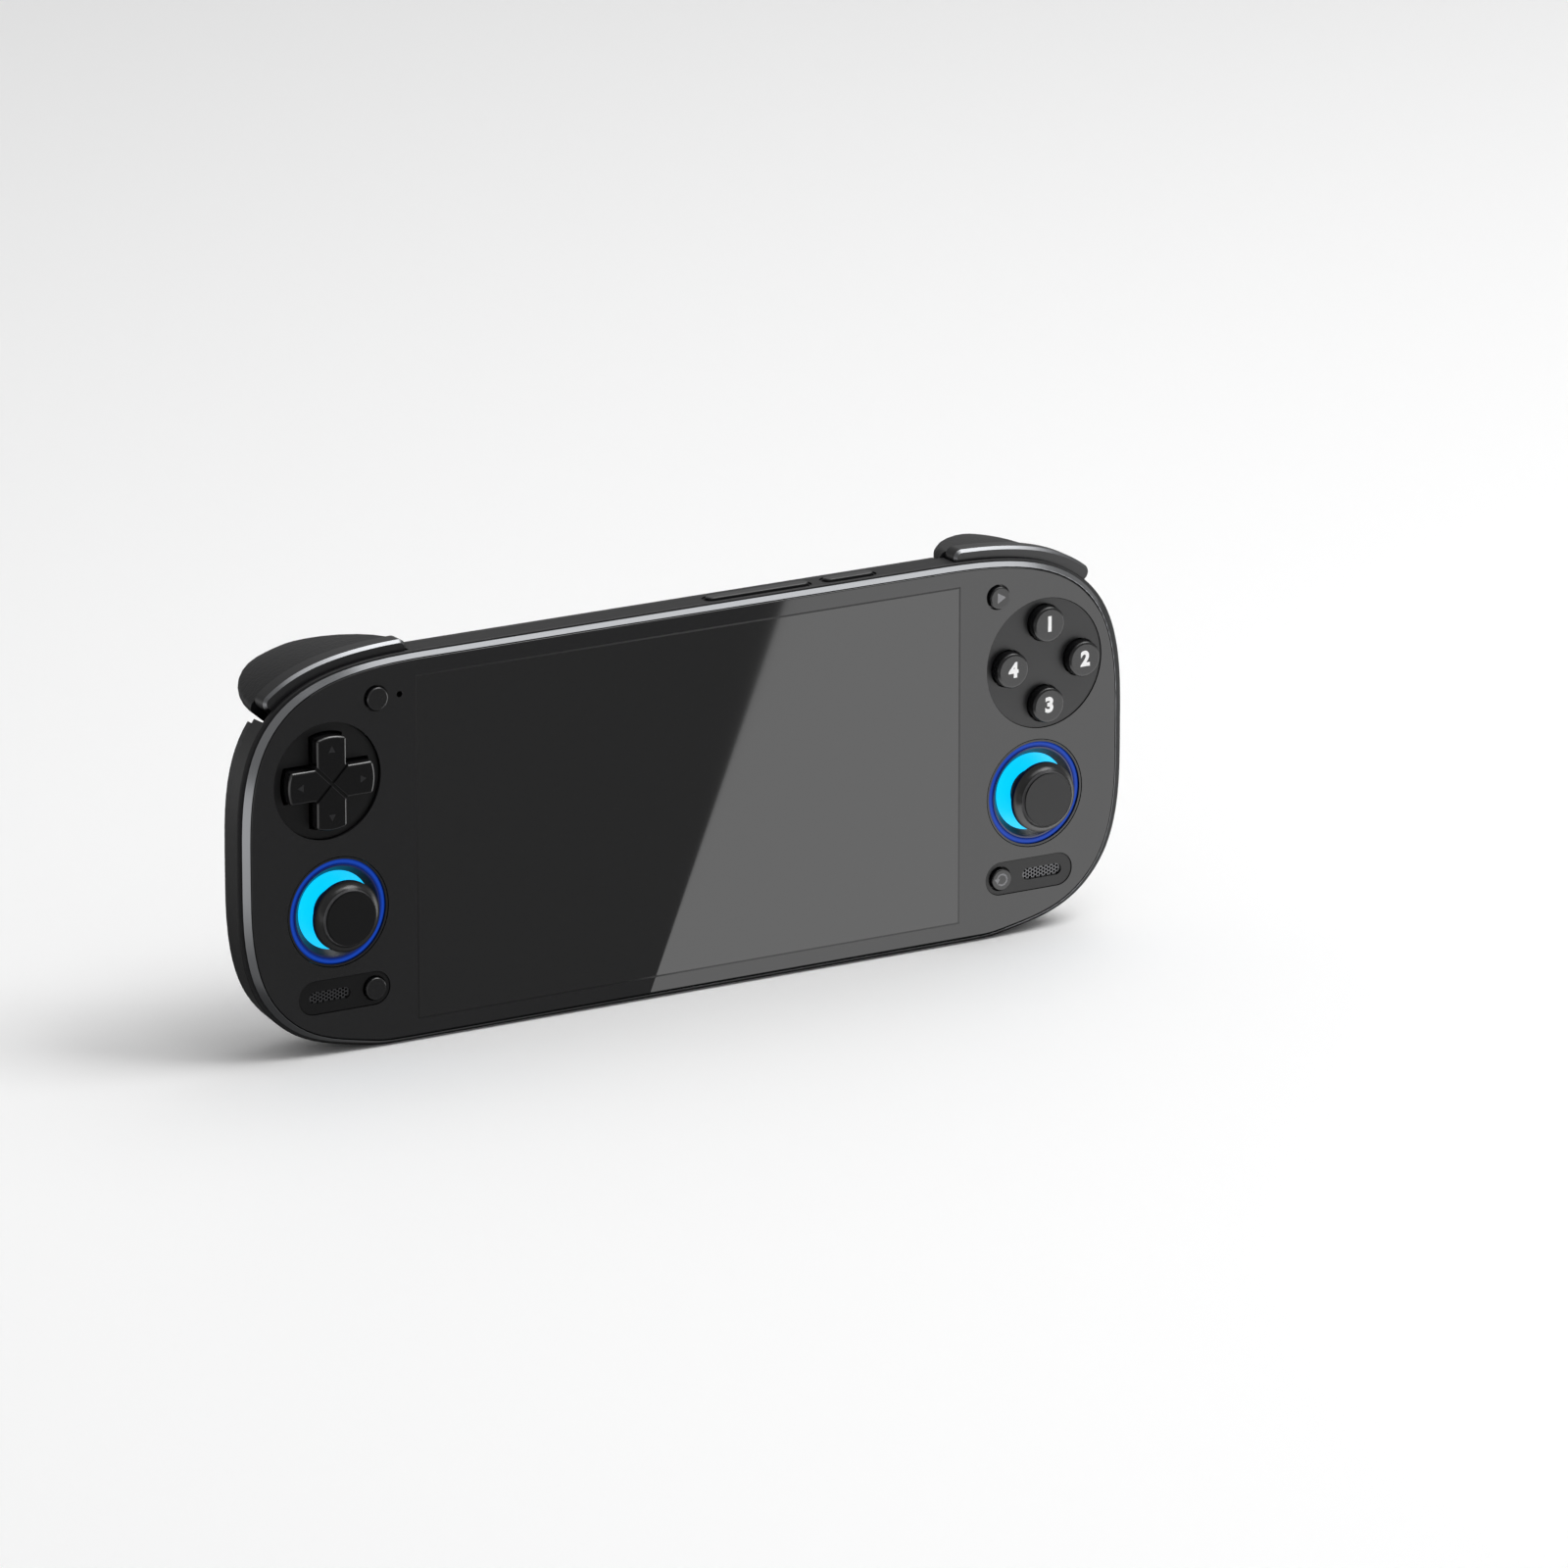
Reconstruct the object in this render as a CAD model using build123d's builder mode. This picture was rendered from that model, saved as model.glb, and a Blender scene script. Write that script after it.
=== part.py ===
from build123d import *
import math
import os

os.makedirs("parts", exist_ok=True)

# All lengths are in millimetres. X runs to the right, Y to the rear and Z up. The console stands on its
# lower long edge. A depth is counted to the rear from the front face of the glass, and Y is 0 at the
# middle of the port in the lower edge.

# Sizes of the display and the body
display_width = 139.5
display_height = 78.5
display_border = 1.5
display_thickness = 1.8
side_zone = 44.35
edge_zone = 5.5
body_depth = 15.0
grip_depth = 22.6
seam_depth = 7.6
end_reach = 54.1
wall = 1.6
rim_side = 1.3
rim_top = 0.8
ledge_side = 1.1
ledge_top = 0.45
side_draft = 1.0
rim_depth = 1.8
rim_chamfer_depth = 1.4
plate_back = 3.9
edge_round = 0.3
base_shave = 0.05

# Sizes of the glass
glass_thickness = 1.1
glass_gap = 0.2
glass_edge_round = 0.25

# Form of the rear cover
rear_round_side = 29.0
rear_round_end = 30.0
foot_depth = 12.0
back_from_side = 56.1
grip_ridge_from_side = 36.1
grip_hollow_round = 20.0
rear_steps = 9

# Fits
running_fit = 0.05
seat_gap = 0.1
trim_gap = 0.15
part_gap = 0.4
overrun = 2.0

# Shape numbers of the outline: the exponent of its rounded ends and the points along a quarter of it
corner_power = 3.35
outline_steps = 6

# Sizes that follow from the ones above
body_half_w = display_width / 2 + side_zone
straight_half = body_half_w - end_reach
back_half_w = body_half_w - back_from_side
grip_ridge = body_half_w - grip_ridge_from_side
body_height = display_height + 2 * edge_zone
body_half_h = body_height / 2
mid_z = body_half_h
seam_half_w = body_half_w - side_draft
rim_half_w = body_half_w - ledge_side
rim_half_h = body_half_h - ledge_top
bed_half_w = rim_half_w - rim_side
bed_half_h = rim_half_h - rim_top
glass_half_w = bed_half_w - glass_gap
glass_half_h = bed_half_h - glass_gap
panel_half_w = display_width / 2 + display_border
panel_half_h = display_height / 2 + display_border
panel_back = glass_thickness + display_thickness

# Port in the lower edge, at the middle of the frame's wall
port_depth = 5.1
port_width = 8.94
port_height = 3.26
port_wall = 0.3
port_length = 7.3
port_recess = 0.2
port_foot_width = 7.0
port_tongue_width = 6.7
port_tongue_height = 0.7
port_tongue_inset = 0.6

# Sticks
stick_side_share = 0.5434
stick_from_bottom = 33.05
stick_hole_r = 12.7
stick_bezel_r = 12.5
stick_bezel_front = 0.1
stick_lip = 0.45
ring_outer_r = 12.0
ring_inner_r = 10.75
ring_front = 0.5
ring_back = 1.3
bowl_outer_r = 10.35
bowl_inner_r = 9.0
bowl_depth = 2.0
glow_r = 12.3
glow_hole_r = 5.2
glow_thickness = 0.8
stick_step_r = 11.6
stick_pivot_depth = 9.0
cap_rise = 6.0
cap_notch_r = 7.2
cap_notch_length = 0.9
cap_notch_width = 0.4
cap_notch_depth = 0.8
cap_r = 8.1
cap_disc_r = 6.3
cap_side = 1.1
cap_lower = 3.0
cap_crown_r = 2.0
cap_groove = 0.25
cap_underside = 1.6
cap_under_r = 6.6
neck_r = 3.0
neck_depth = 1.6
stem_r = 1.5
stem_socket = 3.5
stem_end_depth = 11.2
stem_foot_r = 0.9
stem_foot = 0.6
dome_r = 6.6
dome_wall = 0.8
dome_angle = 58.0
pivot_tube_r = 2.6
pivot_block = 5.6
pivot_block_depth = 2.4
yoke_outer = 11.0
yoke_inner = 7.4
yoke_depth = 2.4
trunnion_reach = 7.6
pivot_trunnion_reach = 5.2
trunnion_r = 0.9
module_size = 16.0
module_wall = 1.2
module_front = 6.4
module_floor = 12.0
module_back = 12.8
module_flange = 20.6
module_flange_thickness = 0.8

# Control boards
board_depth = 6.2
board_thickness = 0.8
board_inner_share = 0.9132
board_inset = 6.6
board_bottom = 8.0
board_cutout_gap = 0.2
post_r = 1.6
post_inner_share = 0.8455
post_upper = 47.5
post_lower = 22.0
post_outer_from_side = 10.5
post_outer_z = 24.0

# Direction pad
dpad_side_share = 0.4893
dpad_above_mid = 18.65
dpad_well_r = 13.4
dpad_bezel_front = 0.9
dpad_bezel_thickness = 1.2
dpad_span = 21.6
dpad_arm = 7.4
dpad_rise = 2.2
dpad_gap = 0.5
dpad_round = 0.6
dpad_corner_round = 0.7
dpad_groove = 0.7
dpad_groove_depth = 0.45
dpad_flange_r = 11.8
dpad_flange_front = 3.2
dpad_flange_thickness = 0.6
dpad_flange_arm = 9.4
dpad_ball_r = 1.25
dpad_ball_depth = 4.93
dpad_boss_r = 2.4
dpad_boss_depth = 4.7
well_step = 1.0

# Face buttons
face_side_share = 0.4893
face_well_r = 15.25
face_bezel_front = 0.25
face_bezel_thickness = 1.6
face_pitch = 9.5
face_cap_r = 4.15
face_hole_gap = 0.3
face_rise = 2.3
face_cap_round = 0.7
face_flange_r = 4.75
face_flange_thickness = 0.8
face_step = 0.5

# Membranes
membrane_thickness = 0.75
membrane_dome_r = 2.6
membrane_dome_wall = 0.6
dpad_dome_front = 4.45
face_dome_front = 4.15
dpad_dome_pitch = 7.4
dpad_sheet_r = 11.5
face_sheet_r = 12.6

# Small round buttons
small_hole_r = 3.0
small_cap_r = 2.6
small_rise = 1.0
small_round = 0.35
small_flange_r = 3.5
small_flange_thickness = 0.6
small_pocket_r = 3.8
small_stem_r = 1.5
small_stem_end = 5.4
switch_height = 0.25
switch_r = 1.8
small_side_share = 0.76663
small_from_top = 8.9
mic_hole_r = 0.7

# Speaker plates
pill_length = 22.7
pill_height = 7.5
pill_side_share = 0.57497
pill_from_bottom = 14.05
pill_front = 0.2
pill_thickness = 1.5
pill_slot_length = 10.3
pill_slot_height = 2.7
pill_slot_shift = 3.6
pill_cap_r = 2.55
pill_hole_r = 2.9
pill_rise = 0.8
pill_flange_front = 1.8
speaker_shift = 3.9
mesh_border = 0.55
mesh_front = 0.7
mesh_thickness = 0.3
mesh_hole_r = 0.3
mesh_pitch = 0.82
mesh_columns = 13
mesh_rows = 3
speaker_length = 12.0
speaker_height = 8.6

# Shoulder buttons
shoulder_length = 34.5
shoulder_from_side = 9.1
shoulder_from_top = 9.4
shoulder_tip_angle = 40.0
shoulder_front = 3.1
shoulder_back = 7.3
shoulder_rise = 2.5
shoulder_inner = 3.8
shoulder_chamfer = 0.65
shoulder_round = 2.0
shoulder_notch = 6.0
shoulder_tip_gap = 2.6
shoulder_front_gap = 0.2
shoulder_reach = 25.0
shoulder_pin_from_start = 2.1
shoulder_pin_below_top = 2.5
pin_r = 0.8
shoulder_pin_start = 1.95
shoulder_pin_end = 6.9

# Triggers
trigger_front = 7.9
trigger_back = 25.6
trigger_inner = 7.4
trigger_rise = 1.3
trigger_drop = 1.2
trigger_lift = 2.2
trigger_start_lead = 1.2
trigger_tip_lead = 1.7
trigger_start_run = 18.5
trigger_tip_run = 12.0
trigger_plan_round = 2.0
trigger_thinning = 0.8
trigger_steps = 9
trigger_pocket = 9.0
pocket_steps = 5
pocket_start_run = 14.0
pocket_tip_run = 6.0
trigger_start_gap = 0.9
trigger_tip_gap = 2.0
trigger_axis_depth = 10.6
trigger_axis_below_top = 5.0
trigger_relief_angle = 14.0
trigger_pin_from_start = 5.0
trigger_pin_length = 17.0
ear_from_start = 10.0
pin_seat = 0.02
ear_width = 5.0
ear_r = 2.1
ear_depth = 3.2
slot_from_start = 9.4
slot_width = 8.2
slot_top_gap = 0.9
slot_back_gap = 1.1
spring_length = 1.8
spring_r = 2.0
spring_gap = 0.3
bracket_plate_from_start = 5.5
bracket_plate_length = 14.0
bracket_plate_height = 8.0
bracket_plate_thickness = 1.2
bracket_plate_top = 11.5
bracket_arm_height = 4.0

# Buttons on the top edge
rocker_length = 26.2
rocker_centre = 19.7
top_button_width = 2.6
power_length = 12.6
power_centre = 43.4
top_button_depth = 4.75
top_button_rise = 0.5
top_recess_border = 0.9
top_recess_depth = 0.35
top_pocket_front = 3.3
top_pocket_height = 1.9
top_pocket_gap = 0.4
top_button_gap = 0.3
rocker_flange = 1.0
rocker_flange_thickness = 0.8
rocker_foot = 1.6
top_button_round = 0.3
rocker_drop = 0.55
rocker_pivot_below_top = 2.4
rocker_nib_pitch = 18.0
rocker_switch_below_top = 3.4
rocker_post_below_top = 3.25
power_flange_thickness = 0.8
power_drop = 0.05
power_stem = 0.6
power_switch_below_top = 3.5
side_board_below_top = 3.8
side_board_thickness = 0.8
side_board_width = 2.4
side_board_border = 1.5

# Inside the middle of the body
mainboard_depth = 7.0
mainboard_thickness = 1.0
mainboard_left = 8.0
mainboard_border = 1.75
mainboard_bottom = 2.2
mainboard_top_inset = 4.5
tongue_left = 14.0
tongue_top = 9.8
mainboard_post_border = 5.0
mainboard_post_low = 24.0
mainboard_post_below_top = 9.0
chip_border = 0.5
chip_height = 1.1
battery_border = 3.75
battery_right = 6.0
battery_bottom = 12.0
battery_from_top = 15.5
battery_thickness = 7.8
battery_round = 2.0
card_slot_x = 24.0
card_slot_width = 13.2
card_slot_length = 14.0
card_slot_height = 1.4
card_mouth_width = 11.4
card_mouth_height = 1.0
fan_from_board_end = 30.0
fan_below_fins = 2.5
fan_size = 38.0
fan_height = 5.0
fan_wall = 1.0
fan_mouth_r = 15.0
fan_room_r = 17.0
fan_rotor_r = 15.8
fan_hub_r = 6.0
fan_blades = 11
fan_blade_thickness = 0.8
fan_pin_r = 1.0
fan_gap = 0.5
fan_blade_turn = 25
fan_outlet = 24.0
heat_plate_thickness = 1.0
heat_plate_width = 46.0
heat_plate_gap = 2.0
heat_plate_bottom = 12.0
fin_below_top = 13.5
fin_height = 11.0
fin_depth = 4.4
fin_thickness = 0.6
fin_pitch = 2.9
fin_count = 10
fin_from_fan = 7.0
heat_pipe_width = 5.0
heat_pipe_thickness = 1.6
heat_pipe_from_fan = 22.5
heat_pipe_up_fins = 4.0

# Vents, bosses and screws of the rear cover
vent_count = 9
vent_pitch = 3.6
vent_width = 1.5
intake_length = 22.0
exhaust_length = 5.0
exhaust_from_top = 12.0
boss_r = 3.0
boss_from_board_end = 20.0
boss_from_edge = 8.0
grip_boss_from_side = 8.4
grip_boss_above_mid = 2.75
boss_split_depth = 9.2
boss_reach = 20.0
board_hole_gap = 0.4
screw_r = 0.9
screw_head_r = 1.9
screw_head_height = 1.2
screw_hole_gap = 0.15
screw_tip_depth = 5.0
screw_head_depth = 14.0
screw_recess_gap = 0.35
screw_socket_r = 0.85
screw_socket_depth = 0.6

# Places that follow from the sizes
stick_x = body_half_w - stick_side_share * side_zone
stick_z = stick_from_bottom
dpad_x = dpad_side_share * side_zone - body_half_w
dpad_z = mid_z + dpad_above_mid
face_x = body_half_w - face_side_share * side_zone
face_z = dpad_z
small_x = body_half_w - small_side_share * side_zone
small_z = body_height - small_from_top
mic_x = -(panel_half_w + small_x - small_hole_r) / 2
pill_x = body_half_w - pill_side_share * side_zone
pill_z = pill_from_bottom
pill_button_x = pill_x - pill_length / 2 + pill_height / 2
pill_slot_x = pill_x + pill_slot_shift
speaker_x = pill_x + speaker_shift
glow_front = bowl_depth
glow_back = glow_front + glow_thickness
dpad_bezel_back = dpad_bezel_front + dpad_bezel_thickness
face_bezel_back = face_bezel_front + face_bezel_thickness
pill_back = pill_front + pill_thickness
board_back = board_depth + board_thickness
board_inner = body_half_w - board_inner_share * side_zone
post_inner = body_half_w - post_inner_share * side_zone
post_outer = body_half_w - post_outer_from_side
trigger_axis_z = body_height - trigger_axis_below_top
tip_x = body_half_w - shoulder_from_side
tip_z = body_height - shoulder_from_top
shoulder_start = tip_x - shoulder_length
shoulder_pin_x = shoulder_start + shoulder_pin_from_start
shoulder_pin_z = body_height - shoulder_pin_below_top
mainboard_back = mainboard_depth + mainboard_thickness
mainboard_right = display_width / 2 - mainboard_border
mainboard_top = body_height - mainboard_top_inset
mainboard_post_left = mainboard_left + mainboard_post_border
mainboard_post_right = mainboard_right - mainboard_post_border
mainboard_post_high = mainboard_top - mainboard_post_below_top
boss_x = mainboard_right - boss_from_board_end
battery_left = display_width / 2 - battery_border
battery_height = body_height - battery_from_top - battery_bottom
fin_bottom = mainboard_top - fin_below_top
fan_x = mainboard_right - fan_from_board_end
fan_z = fin_bottom - fan_below_fins - fan_size / 2
fin_x = fan_x - fin_from_fan
heat_pipe_x = fan_x + heat_pipe_from_fan
heat_pipe_z = fin_bottom + heat_pipe_up_fins
heat_plate_height = fan_z - fan_size / 2 - heat_plate_gap - heat_plate_bottom
chip_size = heat_plate_height - 2 * chip_border


both_sticks = [(stick_x, stick_z), (-stick_x, stick_z)]
both_small = [(small_x, small_z), (-small_x, small_z)]
both_pill_buttons = [(pill_button_x, pill_z), (-pill_button_x, pill_z)]
face_places = [(face_x, face_z + face_pitch), (face_x + face_pitch, face_z)]
face_places += [(face_x, face_z - face_pitch), (face_x - face_pitch, face_z)]
boss_top_z = body_height - boss_from_edge
grip_boss = (body_half_w - grip_boss_from_side, mid_z + grip_boss_above_mid)
boss_places = [(boss_x, boss_from_edge), (-boss_x, boss_from_edge), (boss_x, boss_top_z)]
boss_places += [(-boss_x, boss_top_z), grip_boss, (-grip_boss[0], grip_boss[1])]
board_posts = [(post_inner, post_upper), (post_inner, post_lower), (post_outer, post_outer_z)]
board_posts += [(-x, z) for x, z in board_posts]
mainboard_posts = [(mainboard_post_left, mainboard_post_low), (mainboard_post_left, mainboard_post_high)]
mainboard_posts += [(mainboard_post_right, mainboard_post_low), (mainboard_post_right, mainboard_post_high)]


def at_depth(depth):
    """A plane that faces the player, at a depth behind the glass front: sketches run right and up."""
    return Plane.XZ.offset(port_depth - depth)


def y_at(depth):
    return depth - port_depth


def save(piece, name):
    piece.part.label = name
    export_step(piece.part, f"parts/{name}.step")


def save_pair(piece, name):
    """Writes a right-hand piece and its mirror image."""
    save(piece, "right_" + name)
    with BuildPart() as mirrored:
        mirror(piece.part, about=Plane.YZ)
    save(mirrored, "left_" + name)


def discs(depth, radius, *places):
    """Round faces of one size on a plane at a depth."""
    with BuildSketch(at_depth(depth)) as shape:
        with Locations(*places):
            Circle(radius)
    return shape.sketch


def blocks(depth, width, height, *places):
    """Rectangles of one size on a plane at a depth."""
    with BuildSketch(at_depth(depth)) as shape:
        with Locations(*places):
            Rectangle(width, height)
    return shape.sketch


def pills(depth, length, height, *places):
    """Slot shapes with round ends on a plane at a depth."""
    with BuildSketch(at_depth(depth)) as shape:
        with Locations(*places):
            SlotOverall(length, height)
    return shape.sketch


def top_pills(z, length, width, x):
    """A slot shape in the plan view, at the depth of the buttons on the top edge."""
    with BuildSketch(Plane.XY.offset(z)) as shape:
        with Locations((x, y_at(top_button_depth))):
            SlotOverall(length, width)
    return shape.sketch


def top_blocks(z, length, width, *places):
    """Rectangles in the plan view, at the depth of the buttons on the top edge."""
    with BuildSketch(Plane.XY.offset(z)) as shape:
        with Locations(*[(x, y_at(top_button_depth)) for x in places]):
            Rectangle(length, width)
    return shape.sketch


def profile(x, z, points):
    """A half section beside an axis that runs to the rear, from radii and depths."""
    with BuildSketch(Plane.XY.offset(z)) as shape:
        with BuildLine():
            Polyline(*[(x + radius, y_at(depth)) for radius, depth in points], close=True)
        make_face()
    return shape.sketch


def side_view(x, points):
    """A face in the side view at a place along the body, from depths and heights."""
    with BuildSketch(Plane.YZ.offset(x)) as shape:
        with BuildLine():
            Polyline(*[(y_at(depth), z) for depth, z in points], close=True)
        make_face()
    return shape.sketch


def cross(span, arm):
    """The direction pad's outline: two crossed bars with curved ends."""
    with BuildSketch() as shape:
        Rectangle(span, arm)
        Rectangle(arm, span)
        Circle(span / 2, mode=Mode.INTERSECT)
    return shape.sketch


def rounded_end(core_x, end_x, half_h, centre_z):
    """Points round one end of an outline, from its top to its bottom, on a superellipse."""
    points = []
    for step in range(2 * outline_steps + 1):
        angle = math.pi / 2 * (1 - step / outline_steps)
        across = abs(math.cos(angle)) ** (2 / corner_power)
        up = math.copysign(abs(math.sin(angle)) ** (2 / corner_power), angle)
        points.append((core_x + (end_x - core_x) * across, centre_z + half_h * up))
    return points


def outline(half_w, half_h, centre_z=mid_z, core=straight_half):
    """The front outline: straight top and bottom edges and two rounded ends."""
    with BuildSketch() as shape:
        with BuildLine():
            right = Spline(*rounded_end(core, half_w, half_h, centre_z), tangents=[(1, 0), (-1, 0)])
            left = Spline(*rounded_end(-core, -half_w, half_h, centre_z), tangents=[(-1, 0), (1, 0)])
            Line(left @ 0, right @ 0)
            Line(left @ 1, right @ 1)
        make_face()
    return shape.sketch


def bulge(share, size):
    """How far a quarter ellipse of this size has turned in at a share of its reach."""
    return size * (1 - math.sqrt(1 - min(share, 1) ** 2))


def rear_form(inset):
    """The outer form of the rear cover, or with an inset the room inside its wall."""
    reach = grip_depth - inset - seam_depth
    foot_reach = grip_depth - inset - foot_depth
    with BuildPart() as form:
        sections = []
        for step in range(rear_steps + 1):
            share = math.sin(math.pi / 2 * step / rear_steps)
            depth = seam_depth + reach * share
            foot_share = max(0, (depth - foot_depth) / foot_reach)
            low = inset + bulge(foot_share, rear_round_end - inset)
            high = body_height - inset - bulge(share, rear_round_end - inset)
            half_w = seam_half_w - inset - bulge(share, rear_round_side - inset)
            sections.append(at_depth(depth) * outline(half_w, (high - low) / 2, (high + low) / 2))
        loft(sections, ruled=True)
        floor = y_at(body_depth - inset)
        top = y_at(grip_depth)
        with BuildSketch(Plane.XY):
            with BuildLine():
                Polyline(
                    (-back_half_w - inset, floor),
                    (back_half_w + inset, floor),
                    (grip_ridge + inset, top),
                    (-grip_ridge - inset, top),
                    close=True,
                )
            make_face()
            fillet(vertices().sort_by(Axis.Y)[:2], grip_hollow_round)
        extrude(amount=body_height, mode=Mode.SUBTRACT)
    return form.part


def corner_band(outer, inner, start_gap, tip_gap, plan_round):
    """The strip along the upper right corner that a shoulder button or a trigger fills."""
    tip_angle = math.radians(shoulder_tip_angle)
    along = (math.sin(tip_angle), -math.cos(tip_angle))
    cut_x = tip_x + tip_gap * along[0]
    cut_z = tip_z + tip_gap * along[1]
    start_x = shoulder_start - start_gap
    low_z = cut_z + (start_x - cut_x) * math.tan(tip_angle)
    high_x = cut_x + shoulder_reach * math.cos(tip_angle)
    high_z = cut_z + shoulder_reach * math.sin(tip_angle)
    roof = body_height + shoulder_reach
    with BuildSketch() as band:
        with BuildLine():
            Polyline((start_x, low_z), (start_x, roof), (high_x, roof), (high_x, high_z), close=True)
        make_face()
        add(outline(body_half_w + outer, body_half_h + outer), mode=Mode.INTERSECT)
        add(outline(body_half_w - inner, body_half_h - inner), mode=Mode.SUBTRACT)
        if plan_round:
            fillet(band.vertices(), plan_round)
    return band.sketch


# Front glass
with BuildPart() as front_glass:
    with BuildSketch(at_depth(glass_thickness)):
        add(outline(glass_half_w, glass_half_h))
    extrude(amount=glass_thickness)
    fillet(front_glass.faces().sort_by(Axis.Y)[0].edges(), glass_edge_round)
    with BuildSketch(at_depth(glass_thickness)):
        with Locations((dpad_x, dpad_z)):
            Circle(dpad_well_r)
        with Locations((face_x, face_z)):
            Circle(face_well_r)
        with Locations((stick_x, stick_z), (-stick_x, stick_z)):
            Circle(stick_hole_r)
        with Locations((small_x, small_z), (-small_x, small_z)):
            Circle(small_hole_r)
        with Locations((pill_x, pill_z), (-pill_x, pill_z)):
            SlotOverall(pill_length + 2 * trim_gap, pill_height + 2 * trim_gap)
        with Locations((mic_x, small_z)):
            Circle(mic_hole_r)
    extrude(amount=glass_thickness, mode=Mode.SUBTRACT)
save(front_glass, "front_glass")

# Display panel, bonded to the back of the glass
with BuildPart() as display_panel:
    with BuildSketch(at_depth(panel_back)):
        with Locations((0, mid_z)):
            Rectangle(2 * panel_half_w, 2 * panel_half_h)
    extrude(amount=display_thickness)
save(display_panel, "display_panel")

# Bright front rim with its bevel
with BuildPart() as front_frame:
    with BuildSketch(at_depth(rim_depth)):
        add(outline(rim_half_w, rim_half_h))
    with BuildSketch(at_depth(rim_chamfer_depth + seat_gap)):
        add(outline(rim_half_w, rim_half_h))
    loft(ruled=True)
    with BuildSketch(at_depth(rim_chamfer_depth + seat_gap)):
        add(outline(rim_half_w, rim_half_h))
    with BuildSketch(at_depth(seat_gap)):
        add(outline(bed_half_w + running_fit, bed_half_h + running_fit))
    loft(ruled=True)
    with BuildSketch(at_depth(rim_depth)):
        add(outline(bed_half_w, bed_half_h))
    extrude(amount=rim_depth, mode=Mode.SUBTRACT)
save(front_frame, "front_frame")

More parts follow.
